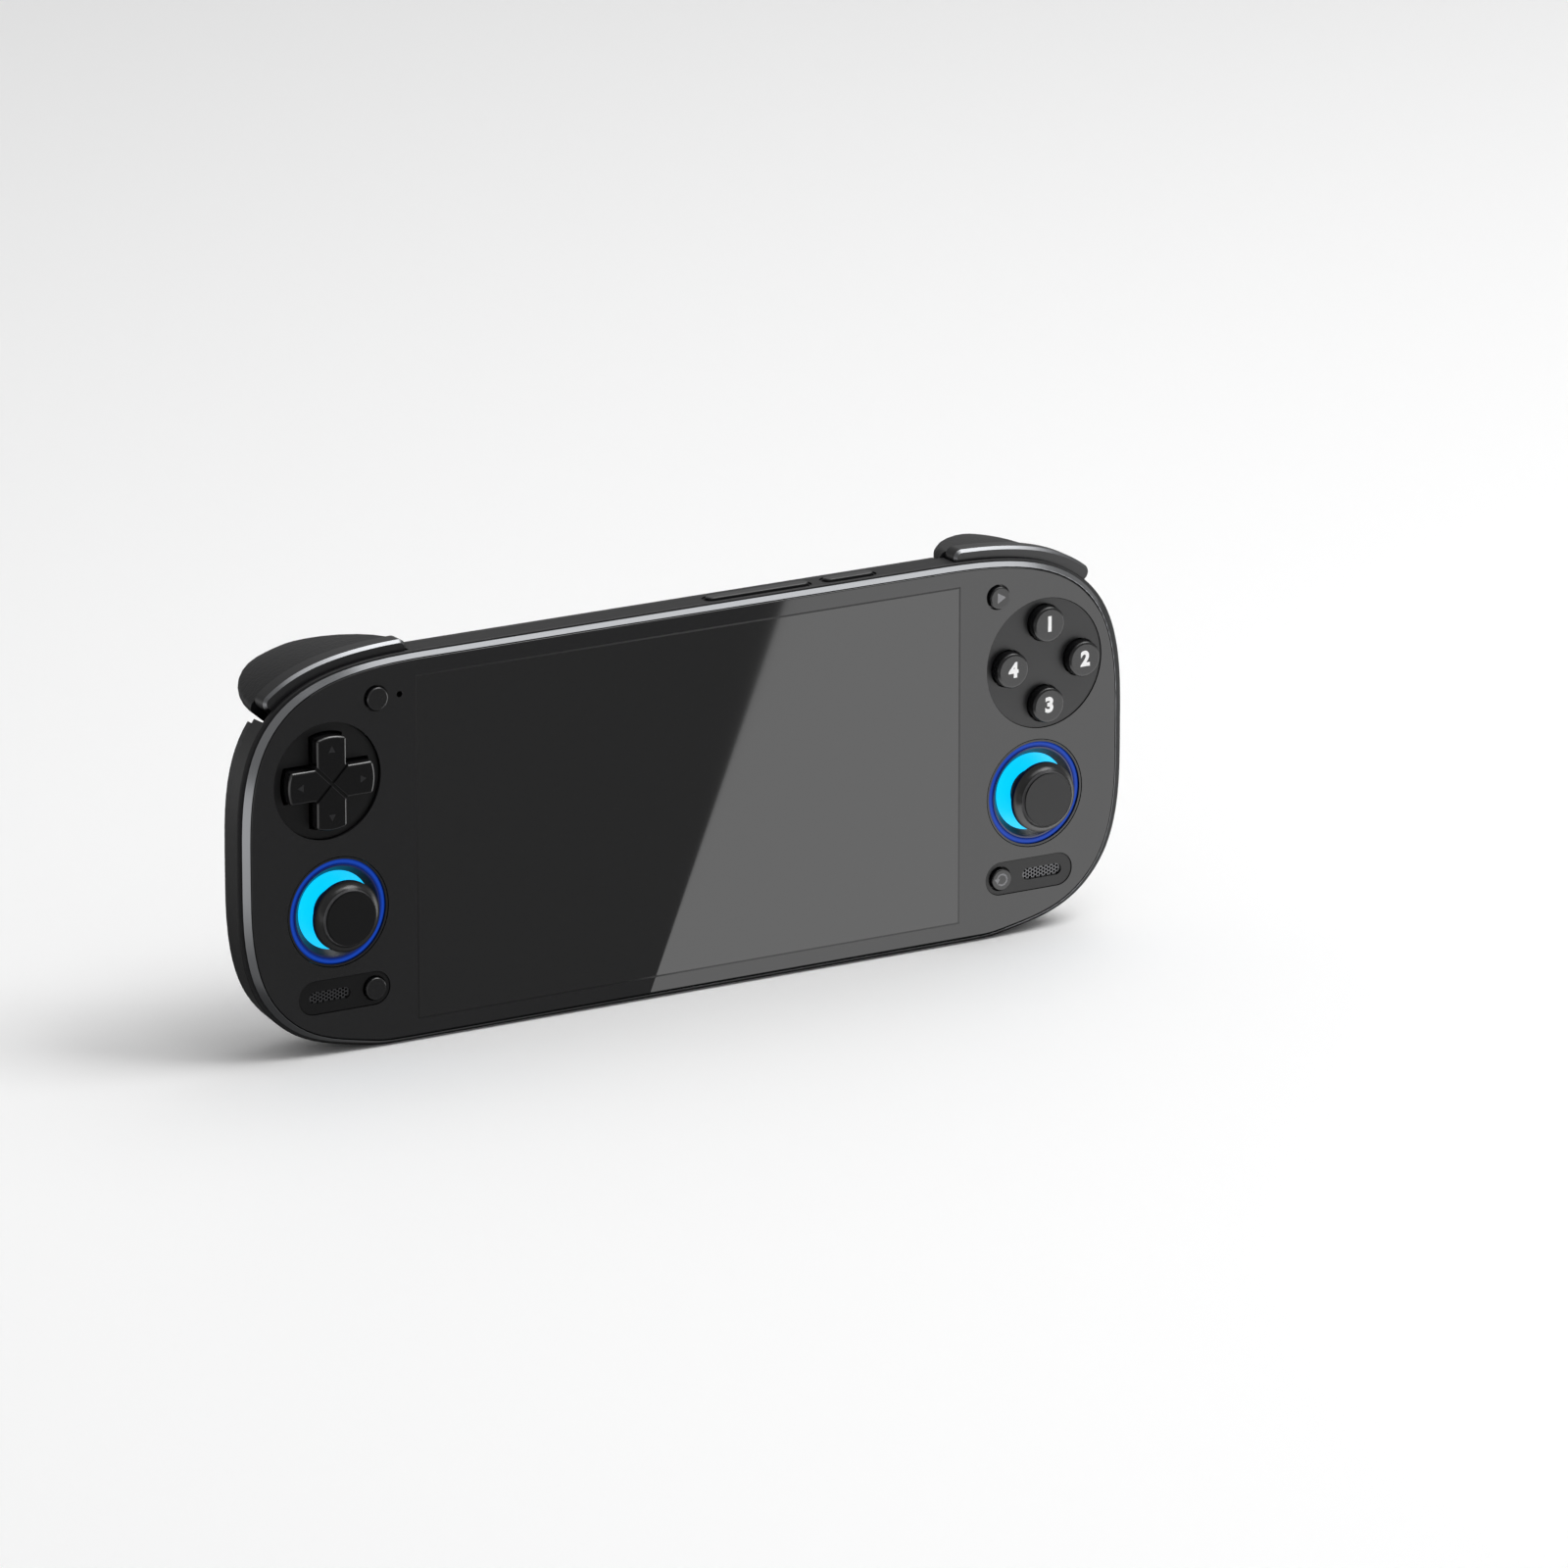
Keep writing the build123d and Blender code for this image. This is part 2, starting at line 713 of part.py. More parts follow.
# Middle frame: wall, plate behind the glass, seats and openings
plate_reach = plate_back + overrun
wall_under = body_height - wall
with BuildPart() as mid_frame:
    low_half_h = body_half_h + base_shave / 2
    low_mid_z = mid_z - base_shave / 2
    with BuildSketch(at_depth(seam_depth)):
        add(outline(seam_half_w, low_half_h, low_mid_z))
    with BuildSketch(at_depth(rim_depth)):
        add(outline(body_half_w, low_half_h, low_mid_z))
    loft(ruled=True)
    fillet(mid_frame.faces().sort_by(Axis.Y)[0].edges(), edge_round)
    with BuildSketch(Plane.XY):
        Rectangle(2 * body_half_w, 2 * grip_depth)
    extrude(amount=-wall, mode=Mode.SUBTRACT)
    with BuildSketch(at_depth(rim_depth)):
        add(outline(bed_half_w, bed_half_h))
    extrude(amount=rim_depth - glass_thickness)
    with BuildSketch(at_depth(seam_depth)):
        add(outline(seam_half_w - wall, body_half_h - wall))
    extrude(amount=seam_depth - plate_back, mode=Mode.SUBTRACT)
    extrude(discs(boss_split_depth, boss_r, *boss_places), amount=boss_split_depth - plate_back)
    extrude(discs(board_depth, post_r, *board_posts), amount=board_depth - plate_back)
    extrude(discs(mainboard_depth, post_r, *mainboard_posts), amount=mainboard_depth - plate_back)
    panel_pocket_w = 2 * (panel_half_w + trim_gap)
    panel_pocket_h = 2 * (panel_half_h + trim_gap)
    panel_pocket = blocks(panel_back + running_fit, panel_pocket_w, panel_pocket_h, (0, mid_z))
    extrude(panel_pocket, amount=panel_back, mode=Mode.SUBTRACT)
    extrude(discs(dpad_bezel_back, dpad_well_r, (dpad_x, dpad_z)), amount=dpad_bezel_back, mode=Mode.SUBTRACT)
    dpad_bore = discs(plate_reach, dpad_well_r - well_step, (dpad_x, dpad_z))
    extrude(dpad_bore, amount=plate_reach, mode=Mode.SUBTRACT)
    extrude(discs(face_bezel_back, face_well_r, (face_x, face_z)), amount=face_bezel_back, mode=Mode.SUBTRACT)
    face_bore = discs(plate_reach, face_well_r - face_step, (face_x, face_z))
    extrude(face_bore, amount=plate_reach, mode=Mode.SUBTRACT)
    extrude(discs(glow_back, stick_hole_r, *both_sticks), amount=glow_back, mode=Mode.SUBTRACT)
    extrude(discs(plate_reach, stick_step_r, *both_sticks), amount=plate_reach, mode=Mode.SUBTRACT)
    extrude(discs(plate_back, small_pocket_r, *both_small), amount=plate_back, mode=Mode.SUBTRACT)
    for side in (1, -1):
        pill_pocket = pills(pill_back, pill_length + 2 * trim_gap, pill_height + 2 * trim_gap, (side * pill_x, pill_z))
        extrude(pill_pocket, amount=pill_back, mode=Mode.SUBTRACT)
        sound_slot = pills(plate_back, pill_slot_length, pill_slot_height, (side * pill_slot_x, pill_z))
        extrude(sound_slot, amount=plate_back, mode=Mode.SUBTRACT)
    extrude(discs(plate_back, small_pocket_r, *both_pill_buttons), amount=plate_back, mode=Mode.SUBTRACT)
    extrude(discs(plate_back, mic_hole_r, (mic_x, small_z)), amount=plate_back, mode=Mode.SUBTRACT)
    with BuildSketch(Plane.XY):
        SlotOverall(port_width + 2 * trim_gap, port_height + 2 * trim_gap)
    extrude(amount=port_recess + port_length + part_gap, mode=Mode.SUBTRACT)
    with BuildSketch(Plane.XY):
        with Locations((card_slot_x, y_at(mainboard_depth - card_slot_height / 2))):
            Rectangle(card_mouth_width, card_mouth_height)
    extrude(amount=wall, mode=Mode.SUBTRACT)
    for button_x, length in ((rocker_centre, rocker_length), (power_centre, power_length)):
        opening = top_pills(wall_under, length + 2 * top_button_gap, top_button_width + 2 * top_button_gap, button_x)
        extrude(opening, amount=wall, mode=Mode.SUBTRACT)
        recess_width = top_button_width + 2 * top_recess_border
        recess = top_pills(body_height - top_recess_depth, length + 2 * top_recess_border, recess_width, button_x)
        extrude(recess, amount=top_recess_depth, mode=Mode.SUBTRACT)
        pocket_length = length + 2 * rocker_flange + 2 * top_pocket_gap
        pocket_width = 2 * (top_button_depth - top_pocket_front)
        pocket = top_blocks(wall_under - top_pocket_height, pocket_length, pocket_width, button_x)
        extrude(pocket, amount=top_pocket_height, mode=Mode.SUBTRACT)
    notch = corner_band(shoulder_rise + overrun, shoulder_notch, part_gap, shoulder_tip_gap, 0)
    notch_front = shoulder_front - shoulder_front_gap
    extrude(at_depth(seam_depth) * notch, amount=seam_depth - notch_front, mode=Mode.SUBTRACT)
    extrude(at_depth(seam_depth) * mirror(notch, Plane.YZ), amount=seam_depth - notch_front, mode=Mode.SUBTRACT)
    shoulder_pins = [(shoulder_pin_x, shoulder_pin_z), (-shoulder_pin_x, shoulder_pin_z)]
    pin_hole = discs(notch_front, pin_r, *shoulder_pins)
    extrude(pin_hole, amount=notch_front - shoulder_pin_start, mode=Mode.SUBTRACT)
    extrude(discs(boss_split_depth, screw_r, *boss_places), amount=boss_split_depth - screw_tip_depth, mode=Mode.SUBTRACT)
save(mid_frame, "mid_frame")

# Rear cover with its bosses, vents and the pockets for the triggers
cover_form = rear_form(0)
with BuildPart() as cover_bosses:
    extrude(discs(boss_reach, boss_r, *boss_places), amount=boss_reach - boss_split_depth)
    add(cover_form, mode=Mode.INTERSECT)
with BuildPart() as trigger_room:
    sections = []
    for step in range(pocket_steps + 1):
        share = step / pocket_steps
        start_gap = trigger_start_lead + trigger_start_gap - pocket_start_run * share**2
        tip_gap = trigger_tip_lead + trigger_tip_gap - bulge(share, pocket_tip_run)
        pocket = corner_band(trigger_rise + overrun, trigger_pocket, start_gap, tip_gap, 0)
        sections.append(at_depth(seam_depth + (trigger_back - seam_depth) * share) * pocket)
    loft(sections, ruled=True)
with BuildPart() as rear_cover:
    add(cover_form)
    add(rear_form(wall), mode=Mode.SUBTRACT)
    add(cover_bosses.part)
    extrude(discs(grip_depth, screw_r + screw_hole_gap, *boss_places), amount=grip_depth - seam_depth, mode=Mode.SUBTRACT)
    recess_front = screw_head_depth - screw_head_height
    screw_recess = discs(grip_depth, screw_head_r + screw_recess_gap, *boss_places)
    extrude(screw_recess, amount=grip_depth - recess_front, mode=Mode.SUBTRACT)
    with BuildSketch(at_depth(body_depth)):
        with Locations((fan_x, fan_z)):
            with GridLocations(vent_pitch, 0, vent_count, 1):
                SlotOverall(intake_length, vent_width, rotation=90)
        with Locations((fin_x, body_height - exhaust_from_top)):
            with GridLocations(vent_pitch, 0, vent_count, 1):
                SlotOverall(exhaust_length, vent_width, rotation=90)
    extrude(amount=wall, mode=Mode.SUBTRACT)
    add(trigger_room.part, mode=Mode.SUBTRACT)
    add(mirror(trigger_room.part, Plane.YZ), mode=Mode.SUBTRACT)
save(rear_cover, "rear_cover")

# Screws of the rear cover
with BuildPart() as rear_cover_screws:
    extrude(discs(recess_front, screw_r, *boss_places), amount=recess_front - screw_tip_depth)
    extrude(discs(screw_head_depth, screw_head_r, *boss_places), amount=screw_head_height)
    with BuildSketch(at_depth(screw_head_depth)):
        with Locations(*boss_places):
            RegularPolygon(screw_socket_r, 6)
    extrude(amount=screw_socket_depth, mode=Mode.SUBTRACT)
save(rear_cover_screws, "rear_cover_screws")

# Direction pad with its bezel, its ball on the board and its membrane
with BuildPart() as dpad_bezel:
    extrude(discs(dpad_bezel_back, dpad_well_r - trim_gap, (dpad_x, dpad_z)), amount=dpad_bezel_thickness)
    with BuildSketch(at_depth(dpad_bezel_back)):
        with Locations((dpad_x, dpad_z)):
            add(cross(dpad_span + 2 * dpad_gap, dpad_arm + 2 * dpad_gap))
    extrude(amount=dpad_bezel_thickness, mode=Mode.SUBTRACT)
save(dpad_bezel, "dpad_bezel")

with BuildPart() as dpad:
    with BuildSketch(at_depth(dpad_flange_front)):
        with Locations((dpad_x, dpad_z)):
            add(cross(dpad_span, dpad_arm))
    extrude(amount=dpad_flange_front + dpad_rise)
    fillet(dpad.edges().filter_by(Axis.Y), dpad_corner_round)
    fillet(dpad.faces().sort_by(Axis.Y)[0].edges(), dpad_round)
    groove_length = math.sqrt(2) * dpad_arm + 2 * dpad_corner_round
    with BuildSketch(at_depth(-dpad_rise + dpad_groove_depth)):
        with Locations((dpad_x, dpad_z)):
            Rectangle(groove_length, dpad_groove, rotation=45)
            Rectangle(groove_length, dpad_groove, rotation=-45)
    extrude(amount=dpad_groove_depth, mode=Mode.SUBTRACT)
    with BuildSketch(at_depth(dpad_flange_front + dpad_flange_thickness)):
        with Locations((dpad_x, dpad_z)):
            add(cross(2 * dpad_flange_r, dpad_flange_arm))
    extrude(amount=dpad_flange_thickness)
    extrude(discs(dpad_boss_depth, dpad_boss_r, (dpad_x, dpad_z)), amount=dpad_boss_depth - dpad_flange_front)
    with Locations((dpad_x, y_at(dpad_ball_depth), dpad_z)):
        Sphere(dpad_ball_r + running_fit, mode=Mode.SUBTRACT)
save(dpad, "dpad")

with BuildPart() as dpad_pivot:
    with Locations((dpad_x, y_at(dpad_ball_depth), dpad_z)):
        Sphere(dpad_ball_r)
save(dpad_pivot, "dpad_pivot")

membrane_back = board_depth - running_fit
membrane_front = membrane_back - membrane_thickness
dome_places = [(dpad_x + dpad_dome_pitch, dpad_z), (dpad_x - dpad_dome_pitch, dpad_z)]
dome_places += [(dpad_x, dpad_z + dpad_dome_pitch), (dpad_x, dpad_z - dpad_dome_pitch)]
with BuildPart() as dpad_membrane:
    extrude(discs(membrane_back, dpad_sheet_r, (dpad_x, dpad_z)), amount=membrane_thickness)
    extrude(discs(membrane_front, membrane_dome_r, *dome_places), amount=membrane_front - dpad_dome_front, taper=20)
    dome_room = membrane_back - dpad_dome_front - membrane_dome_wall
    room = discs(membrane_back, membrane_dome_r - 2 * membrane_dome_wall, *dome_places)
    extrude(room, amount=dome_room, mode=Mode.SUBTRACT)
    hole = discs(membrane_back, dpad_ball_r + part_gap, (dpad_x, dpad_z))
    extrude(hole, amount=membrane_thickness, mode=Mode.SUBTRACT)
save(dpad_membrane, "dpad_membrane")

# Face buttons with their bezel and membrane
with BuildPart() as face_button_bezel:
    extrude(discs(face_bezel_back, face_well_r - trim_gap, (face_x, face_z)), amount=face_bezel_thickness)
    holes = discs(face_bezel_back, face_cap_r + face_hole_gap, *face_places)
    extrude(holes, amount=face_bezel_thickness, mode=Mode.SUBTRACT)
save(face_button_bezel, "face_button_bezel")

face_flange_front = face_bezel_back + seat_gap
for name, place in zip(("top", "right", "bottom", "left"), face_places):
    with BuildPart() as face_button:
        extrude(discs(face_flange_front, face_cap_r, place), amount=face_flange_front + face_rise)
        fillet(face_button.faces().sort_by(Axis.Y)[0].edges(), face_cap_round)
        flange = discs(face_flange_front + face_flange_thickness, face_flange_r, place)
        extrude(flange, amount=face_flange_thickness)
    save(face_button, "face_button_" + name)

with BuildPart() as face_button_membrane:
    extrude(discs(membrane_back, face_sheet_r, (face_x, face_z)), amount=membrane_thickness)
    domes = discs(membrane_front, membrane_dome_r, *face_places)
    extrude(domes, amount=membrane_front - face_dome_front, taper=20)
    room = discs(membrane_back, membrane_dome_r - 2 * membrane_dome_wall, *face_places)
    extrude(room, amount=membrane_back - face_dome_front - membrane_dome_wall, mode=Mode.SUBTRACT)
save(face_button_membrane, "face_button_membrane")


def small_button(place, cap_r, rise, flange_front):
    """A small round button: cap, flange behind the glass or the plate, and stem."""
    flange_back = flange_front + small_flange_thickness
    with BuildPart() as button:
        extrude(discs(flange_front, cap_r, place), amount=flange_front + rise)
        fillet(button.faces().sort_by(Axis.Y)[0].edges(), small_round)
        extrude(discs(flange_back, small_flange_r, place), amount=small_flange_thickness)
        extrude(discs(small_stem_end, small_stem_r, place), amount=small_stem_end - flange_back)
    return button


save(small_button(both_small[0], small_cap_r, small_rise, glass_thickness + seat_gap), "start_button")
save(small_button(both_small[1], small_cap_r, small_rise, glass_thickness + seat_gap), "select_button")
save(small_button(both_pill_buttons[0], pill_cap_r, pill_rise, pill_flange_front), "right_menu_button")
save(small_button(both_pill_buttons[1], pill_cap_r, pill_rise, pill_flange_front), "left_menu_button")

# Speaker plates, their meshes and the speakers
with BuildPart() as speaker_plate:
    extrude(pills(pill_back, pill_length, pill_height, (pill_x, pill_z)), amount=pill_thickness)
    slot = pills(pill_back, pill_slot_length, pill_slot_height, (pill_slot_x, pill_z))
    extrude(slot, amount=pill_thickness, mode=Mode.SUBTRACT)
    mesh_length = pill_slot_length + 2 * mesh_border
    mesh_height = pill_slot_height + 2 * mesh_border
    mesh_pocket = pills(pill_back, mesh_length + 2 * seat_gap, mesh_height + 2 * seat_gap, (pill_slot_x, pill_z))
    extrude(mesh_pocket, amount=pill_back - mesh_front, mode=Mode.SUBTRACT)
    extrude(discs(pill_back, pill_hole_r, both_pill_buttons[0]), amount=pill_thickness, mode=Mode.SUBTRACT)
save_pair(speaker_plate, "speaker_plate")

with BuildPart() as speaker_meshes:
    for side in (1, -1):
        mesh_back = mesh_front + mesh_thickness
        extrude(pills(mesh_back, mesh_length, mesh_height, (side * pill_slot_x, pill_z)), amount=mesh_thickness)
        with BuildSketch(at_depth(mesh_back)):
            with Locations((side * pill_slot_x, pill_z)):
                with HexLocations(mesh_pitch / 2, mesh_columns, mesh_rows):
                    Circle(mesh_hole_r)
        extrude(amount=mesh_thickness, mode=Mode.SUBTRACT)
save(speaker_meshes, "speaker_meshes")

with BuildPart() as speakers:
    speaker_places = [(speaker_x, pill_z), (-speaker_x, pill_z)]
    extrude(blocks(board_depth, speaker_length, speaker_height, *speaker_places), amount=board_depth - plate_back)
    cone = discs(plate_back + membrane_thickness, speaker_height / 3, *speaker_places)
    extrude(cone, amount=membrane_thickness, taper=30, mode=Mode.SUBTRACT)
save(speakers, "speakers")

# Control boards
cutout = module_size + 2 * board_cutout_gap
with BuildPart() as control_board:
    with BuildSketch(at_depth(board_back)) as board_face:
        add(outline(body_half_w - board_inset, body_half_h - board_inset))
        with Locations((board_inner, board_bottom)):
            board_width = body_half_w - board_inner
            Rectangle(board_width, body_height, align=(Align.MIN, Align.MIN), mode=Mode.INTERSECT)
        with Locations((stick_x, stick_z)):
            Rectangle(cutout, cutout, mode=Mode.SUBTRACT)
        with Locations(grip_boss):
            Circle(boss_r + board_hole_gap, mode=Mode.SUBTRACT)
    extrude(amount=board_thickness)
    switch_places = [both_small[0], both_pill_buttons[0]]
    extrude(discs(board_depth, switch_r, *switch_places), amount=switch_height)
save_pair(control_board, "control_board")

# Sticks: bezel, light ring, glow disc and module
stick_axis = Axis((stick_x, 0, stick_z), (0, 1, 0))
lip_r = stick_bezel_r - stick_lip
groove_r = ring_inner_r - running_fit
groove_depth = ring_back + running_fit
bezel_points = [
    (stick_bezel_r, stick_bezel_front),
    (lip_r, stick_bezel_front),
    (lip_r, groove_depth),
    (groove_r, groove_depth),
    (groove_r, ring_front),
    (bowl_outer_r, ring_front),
    (bowl_inner_r, bowl_depth),
    (stick_bezel_r, bowl_depth),
]
with BuildPart() as stick_bezel:
    revolve(profile(stick_x, stick_z, bezel_points), axis=stick_axis)
save_pair(stick_bezel, "stick_bezel")

with BuildPart() as light_ring:
    extrude(discs(ring_back, ring_outer_r, both_sticks[0]), amount=ring_back - ring_front)
    extrude(discs(ring_back, ring_inner_r, both_sticks[0]), amount=ring_back, mode=Mode.SUBTRACT)
    fillet(light_ring.faces().sort_by(Axis.Y)[0].edges(), edge_round)
save_pair(light_ring, "light_ring")

with BuildPart() as glow_disc:
    extrude(discs(glow_back, glow_r, both_sticks[0]), amount=glow_thickness)
    extrude(discs(glow_back, glow_hole_r, both_sticks[0]), amount=glow_thickness, mode=Mode.SUBTRACT)
save_pair(glow_disc, "glow_disc")

module_room = module_size - 2 * module_wall
with BuildPart() as stick_module:
    extrude(blocks(module_back, module_size, module_size, both_sticks[0]), amount=module_back - module_front)
    flange = blocks(board_back + module_flange_thickness, module_flange, module_flange, both_sticks[0])
    extrude(flange, amount=module_flange_thickness)
    room = blocks(module_floor, module_room, module_room, both_sticks[0])
    extrude(room, amount=module_floor, mode=Mode.SUBTRACT)
    with Locations((stick_x, y_at(stick_pivot_depth), stick_z)):
        Cylinder(trunnion_r + running_fit, module_size, rotation=(0, 90, 0), mode=Mode.SUBTRACT)
save_pair(stick_module, "stick_module")

# Sticks: yoke, pivot with its dome, stem and cap
with BuildPart() as stick_yoke:
    with Locations((stick_x, y_at(stick_pivot_depth), stick_z)):
        Box(yoke_outer, yoke_depth, yoke_outer)
        Cylinder(trunnion_r, 2 * trunnion_reach, rotation=(0, 90, 0))
        Box(yoke_inner, yoke_depth, yoke_inner, mode=Mode.SUBTRACT)
        Cylinder(trunnion_r + running_fit, yoke_outer, mode=Mode.SUBTRACT)
save_pair(stick_yoke, "stick_yoke")

dome_inner_r = dome_r - dome_wall
dome_plane = Plane.XY.offset(stick_z)
pivot_y = y_at(stick_pivot_depth)
with BuildPart() as stick_pivot:
    with BuildSketch(dome_plane):
        with BuildLine():
            outer_arc = CenterArc((stick_x, pivot_y), dome_r, -90, dome_angle)
            inner_arc = CenterArc((stick_x, pivot_y), dome_inner_r, -90, dome_angle)
            Line(outer_arc @ 0, inner_arc @ 0)
            Line(outer_arc @ 1, inner_arc @ 1)
        make_face()
    revolve(axis=stick_axis)
    extrude(discs(stick_pivot_depth, pivot_tube_r, both_sticks[0]), amount=dome_inner_r)
    with Locations((stick_x, pivot_y, stick_z)):
        Box(pivot_block, pivot_block_depth, pivot_block)
        Cylinder(trunnion_r, 2 * pivot_trunnion_reach)
    bore = discs(stick_pivot_depth + dome_r, stem_r + running_fit, both_sticks[0])
    extrude(bore, amount=2 * dome_r, mode=Mode.SUBTRACT)
save_pair(stick_pivot, "stick_pivot")

stem_top = neck_depth - stem_socket
with BuildPart() as stick_stem:
    stem_face = discs(stem_end_depth - stem_foot, stem_r, both_sticks[0])
    extrude(stem_face, amount=stem_end_depth - stem_foot - stem_top)
    extrude(discs(stem_end_depth, stem_foot_r, both_sticks[0]), amount=stem_foot)
save_pair(stick_stem, "stick_stem")

with BuildPart() as stick_cap:
    with BuildSketch(dome_plane):
        with BuildLine():
            disc_edge = Polyline(
                (stick_x, y_at(-cap_rise)),
                (stick_x + cap_disc_r - cap_groove, y_at(-cap_rise)),
                (stick_x + cap_disc_r - cap_groove, y_at(cap_groove - cap_rise)),
                (stick_x + cap_disc_r, y_at(cap_groove - cap_rise)),
                (stick_x + cap_disc_r, y_at(cap_groove / 2 - cap_rise)),
            )
            crown = RadiusArc(disc_edge @ 1, (stick_x + cap_r, y_at(-cap_lower - cap_side)), cap_crown_r)
            Polyline(
                crown @ 1,
                (stick_x + cap_r, y_at(-cap_lower)),
                (stick_x + cap_under_r, y_at(-cap_underside)),
                (stick_x + neck_r, y_at(-cap_underside)),
                (stick_x + neck_r, y_at(neck_depth)),
                (stick_x + stem_r, y_at(neck_depth)),
                (stick_x + stem_r, y_at(stem_top)),
                (stick_x, y_at(stem_top)),
                disc_edge @ 0,
            )
        make_face()
    revolve(axis=stick_axis)
    with BuildSketch(at_depth(cap_notch_depth - cap_rise)):
        with Locations((stick_x, stick_z)):
            with PolarLocations(cap_notch_r, 4):
                Rectangle(cap_notch_length, cap_notch_width)
    extrude(amount=cap_notch_depth, mode=Mode.SUBTRACT)
save_pair(stick_cap, "stick_cap")

# Shoulder buttons
with BuildPart() as shoulder_button:
    band = corner_band(shoulder_rise, shoulder_inner, 0, 0, shoulder_round)
    extrude(at_depth(shoulder_back) * band, amount=shoulder_back - shoulder_front)
    chamfer(shoulder_button.faces().sort_by(Axis.Y)[0].edges(), shoulder_chamfer)
    bore = discs(shoulder_back, pin_r + running_fit, shoulder_pins[0])
    extrude(bore, amount=shoulder_back - shoulder_front, mode=Mode.SUBTRACT)
save_pair(shoulder_button, "shoulder_button")

# Triggers
trigger_x = shoulder_start + trigger_pin_from_start + trigger_pin_length / 2
relief_fall = trigger_axis_z - mid_z
relief_depth = relief_fall * math.tan(math.radians(trigger_relief_angle))
slot_start = shoulder_start + slot_from_start
slot_back = trigger_axis_depth + ear_r + slot_back_gap
slot_top = trigger_axis_z + ear_r + slot_top_gap
with BuildPart() as trigger:
    sections = []
    for step in range(trigger_steps + 1):
        turn = math.pi / 2 * step / trigger_steps
        share = math.sin(turn)
        band = corner_band(
            trigger_rise - bulge(share, trigger_drop),
            trigger_inner - bulge(share, trigger_lift),
            trigger_start_lead - trigger_start_run * share**2,
            trigger_tip_lead - bulge(share, trigger_tip_run),
            trigger_plan_round - bulge(share, trigger_thinning),
        )
        depth = trigger_front + (trigger_back - trigger_front) * share
        sections.append(at_depth(depth) * band)
    loft(sections, ruled=True)
    relief = [(trigger_front - overrun, trigger_axis_z), (trigger_front, trigger_axis_z)]
    relief += [(trigger_front + relief_depth, mid_z), (trigger_front - overrun, mid_z)]
    extrude(side_view(shoulder_start, relief), amount=body_half_w - shoulder_start, mode=Mode.SUBTRACT)
    slot_points = [(trigger_front, mid_z), (slot_back, mid_z), (slot_back, slot_top), (trigger_front, slot_top)]
    extrude(side_view(slot_start, slot_points), amount=slot_width, mode=Mode.SUBTRACT)
    with Locations((trigger_x, y_at(trigger_axis_depth), trigger_axis_z)):
        Cylinder(pin_r + running_fit, trigger_pin_length + part_gap, rotation=(0, 90, 0), mode=Mode.SUBTRACT)
save_pair(trigger, "trigger")

# Trigger brackets, pins and springs
ear_x = shoulder_start + ear_from_start
plate_z = body_height - bracket_plate_top
bracket_back = board_back + bracket_plate_thickness
arm_front = trigger_axis_depth - ear_depth / 2
arm_back = trigger_axis_depth + ear_depth / 2
with BuildPart() as trigger_bracket:
    plate_x = shoulder_start + bracket_plate_from_start + bracket_plate_length / 2
    plate_face = blocks(bracket_back, bracket_plate_length, bracket_plate_height, (plate_x, plate_z - bracket_plate_height / 2))
    extrude(plate_face, amount=bracket_plate_thickness)
    arm_points = [
        (board_back, plate_z - bracket_arm_height),
        (arm_back, plate_z - bracket_arm_height),
        (arm_back, trigger_axis_z),
        (arm_front, trigger_axis_z),
        (arm_front, plate_z),
        (board_back, plate_z),
    ]
    extrude(side_view(ear_x, arm_points), amount=ear_width)
    with Locations((ear_x + ear_width / 2, y_at(trigger_axis_depth), trigger_axis_z)):
        Cylinder(ear_r, ear_width, rotation=(0, 90, 0))
        Cylinder(pin_r + pin_seat, ear_width, rotation=(0, 90, 0), mode=Mode.SUBTRACT)
save_pair(trigger_bracket, "trigger_bracket")

with BuildPart() as control_pins:
    extrude(discs(shoulder_pin_end, pin_r, *shoulder_pins), amount=shoulder_pin_end - shoulder_pin_start)
    with Locations((trigger_x, y_at(trigger_axis_depth), trigger_axis_z)):
        Cylinder(pin_r, trigger_pin_length, rotation=(0, 90, 0))
    with Locations((-trigger_x, y_at(trigger_axis_depth), trigger_axis_z)):
        Cylinder(pin_r, trigger_pin_length, rotation=(0, 90, 0))
save(control_pins, "control_pins")

spring_x = ear_x + ear_width + spring_gap + spring_length / 2
with BuildPart() as trigger_springs:
    for side in (1, -1):
        with Locations((side * spring_x, y_at(trigger_axis_depth), trigger_axis_z)):
            Cylinder(spring_r, spring_length, rotation=(0, 90, 0))
            Cylinder(pin_r + seat_gap, spring_length, rotation=(0, 90, 0), mode=Mode.SUBTRACT)
save(trigger_springs, "trigger_springs")

# Volume rocker, power button and the board under them
rocker_top = body_height + top_button_rise
rocker_flange_top = wall_under - rocker_drop
rocker_under = rocker_flange_top - rocker_flange_thickness
rocker_pivot_z = body_height - rocker_pivot_below_top
with BuildPart() as volume_rocker:
    top_face = top_pills(rocker_flange_top, rocker_length, top_button_width, rocker_centre)
    extrude(top_face, amount=rocker_top - rocker_flange_top)
    fillet(volume_rocker.faces().sort_by(Axis.Z)[-1].edges(), top_button_round)
    flange = top_blocks(rocker_under, rocker_length + 2 * rocker_flange, top_button_width, rocker_centre)
    extrude(flange, amount=rocker_flange_thickness)
    foot = top_blocks(rocker_pivot_z, rocker_foot, rocker_foot, rocker_centre)
    extrude(foot, amount=rocker_under - rocker_pivot_z)
    with Locations((rocker_centre, y_at(top_button_depth), rocker_pivot_z)):
        Cylinder(rocker_foot / 2, rocker_foot, rotation=(90, 0, 0))
save(volume_rocker, "volume_rocker")

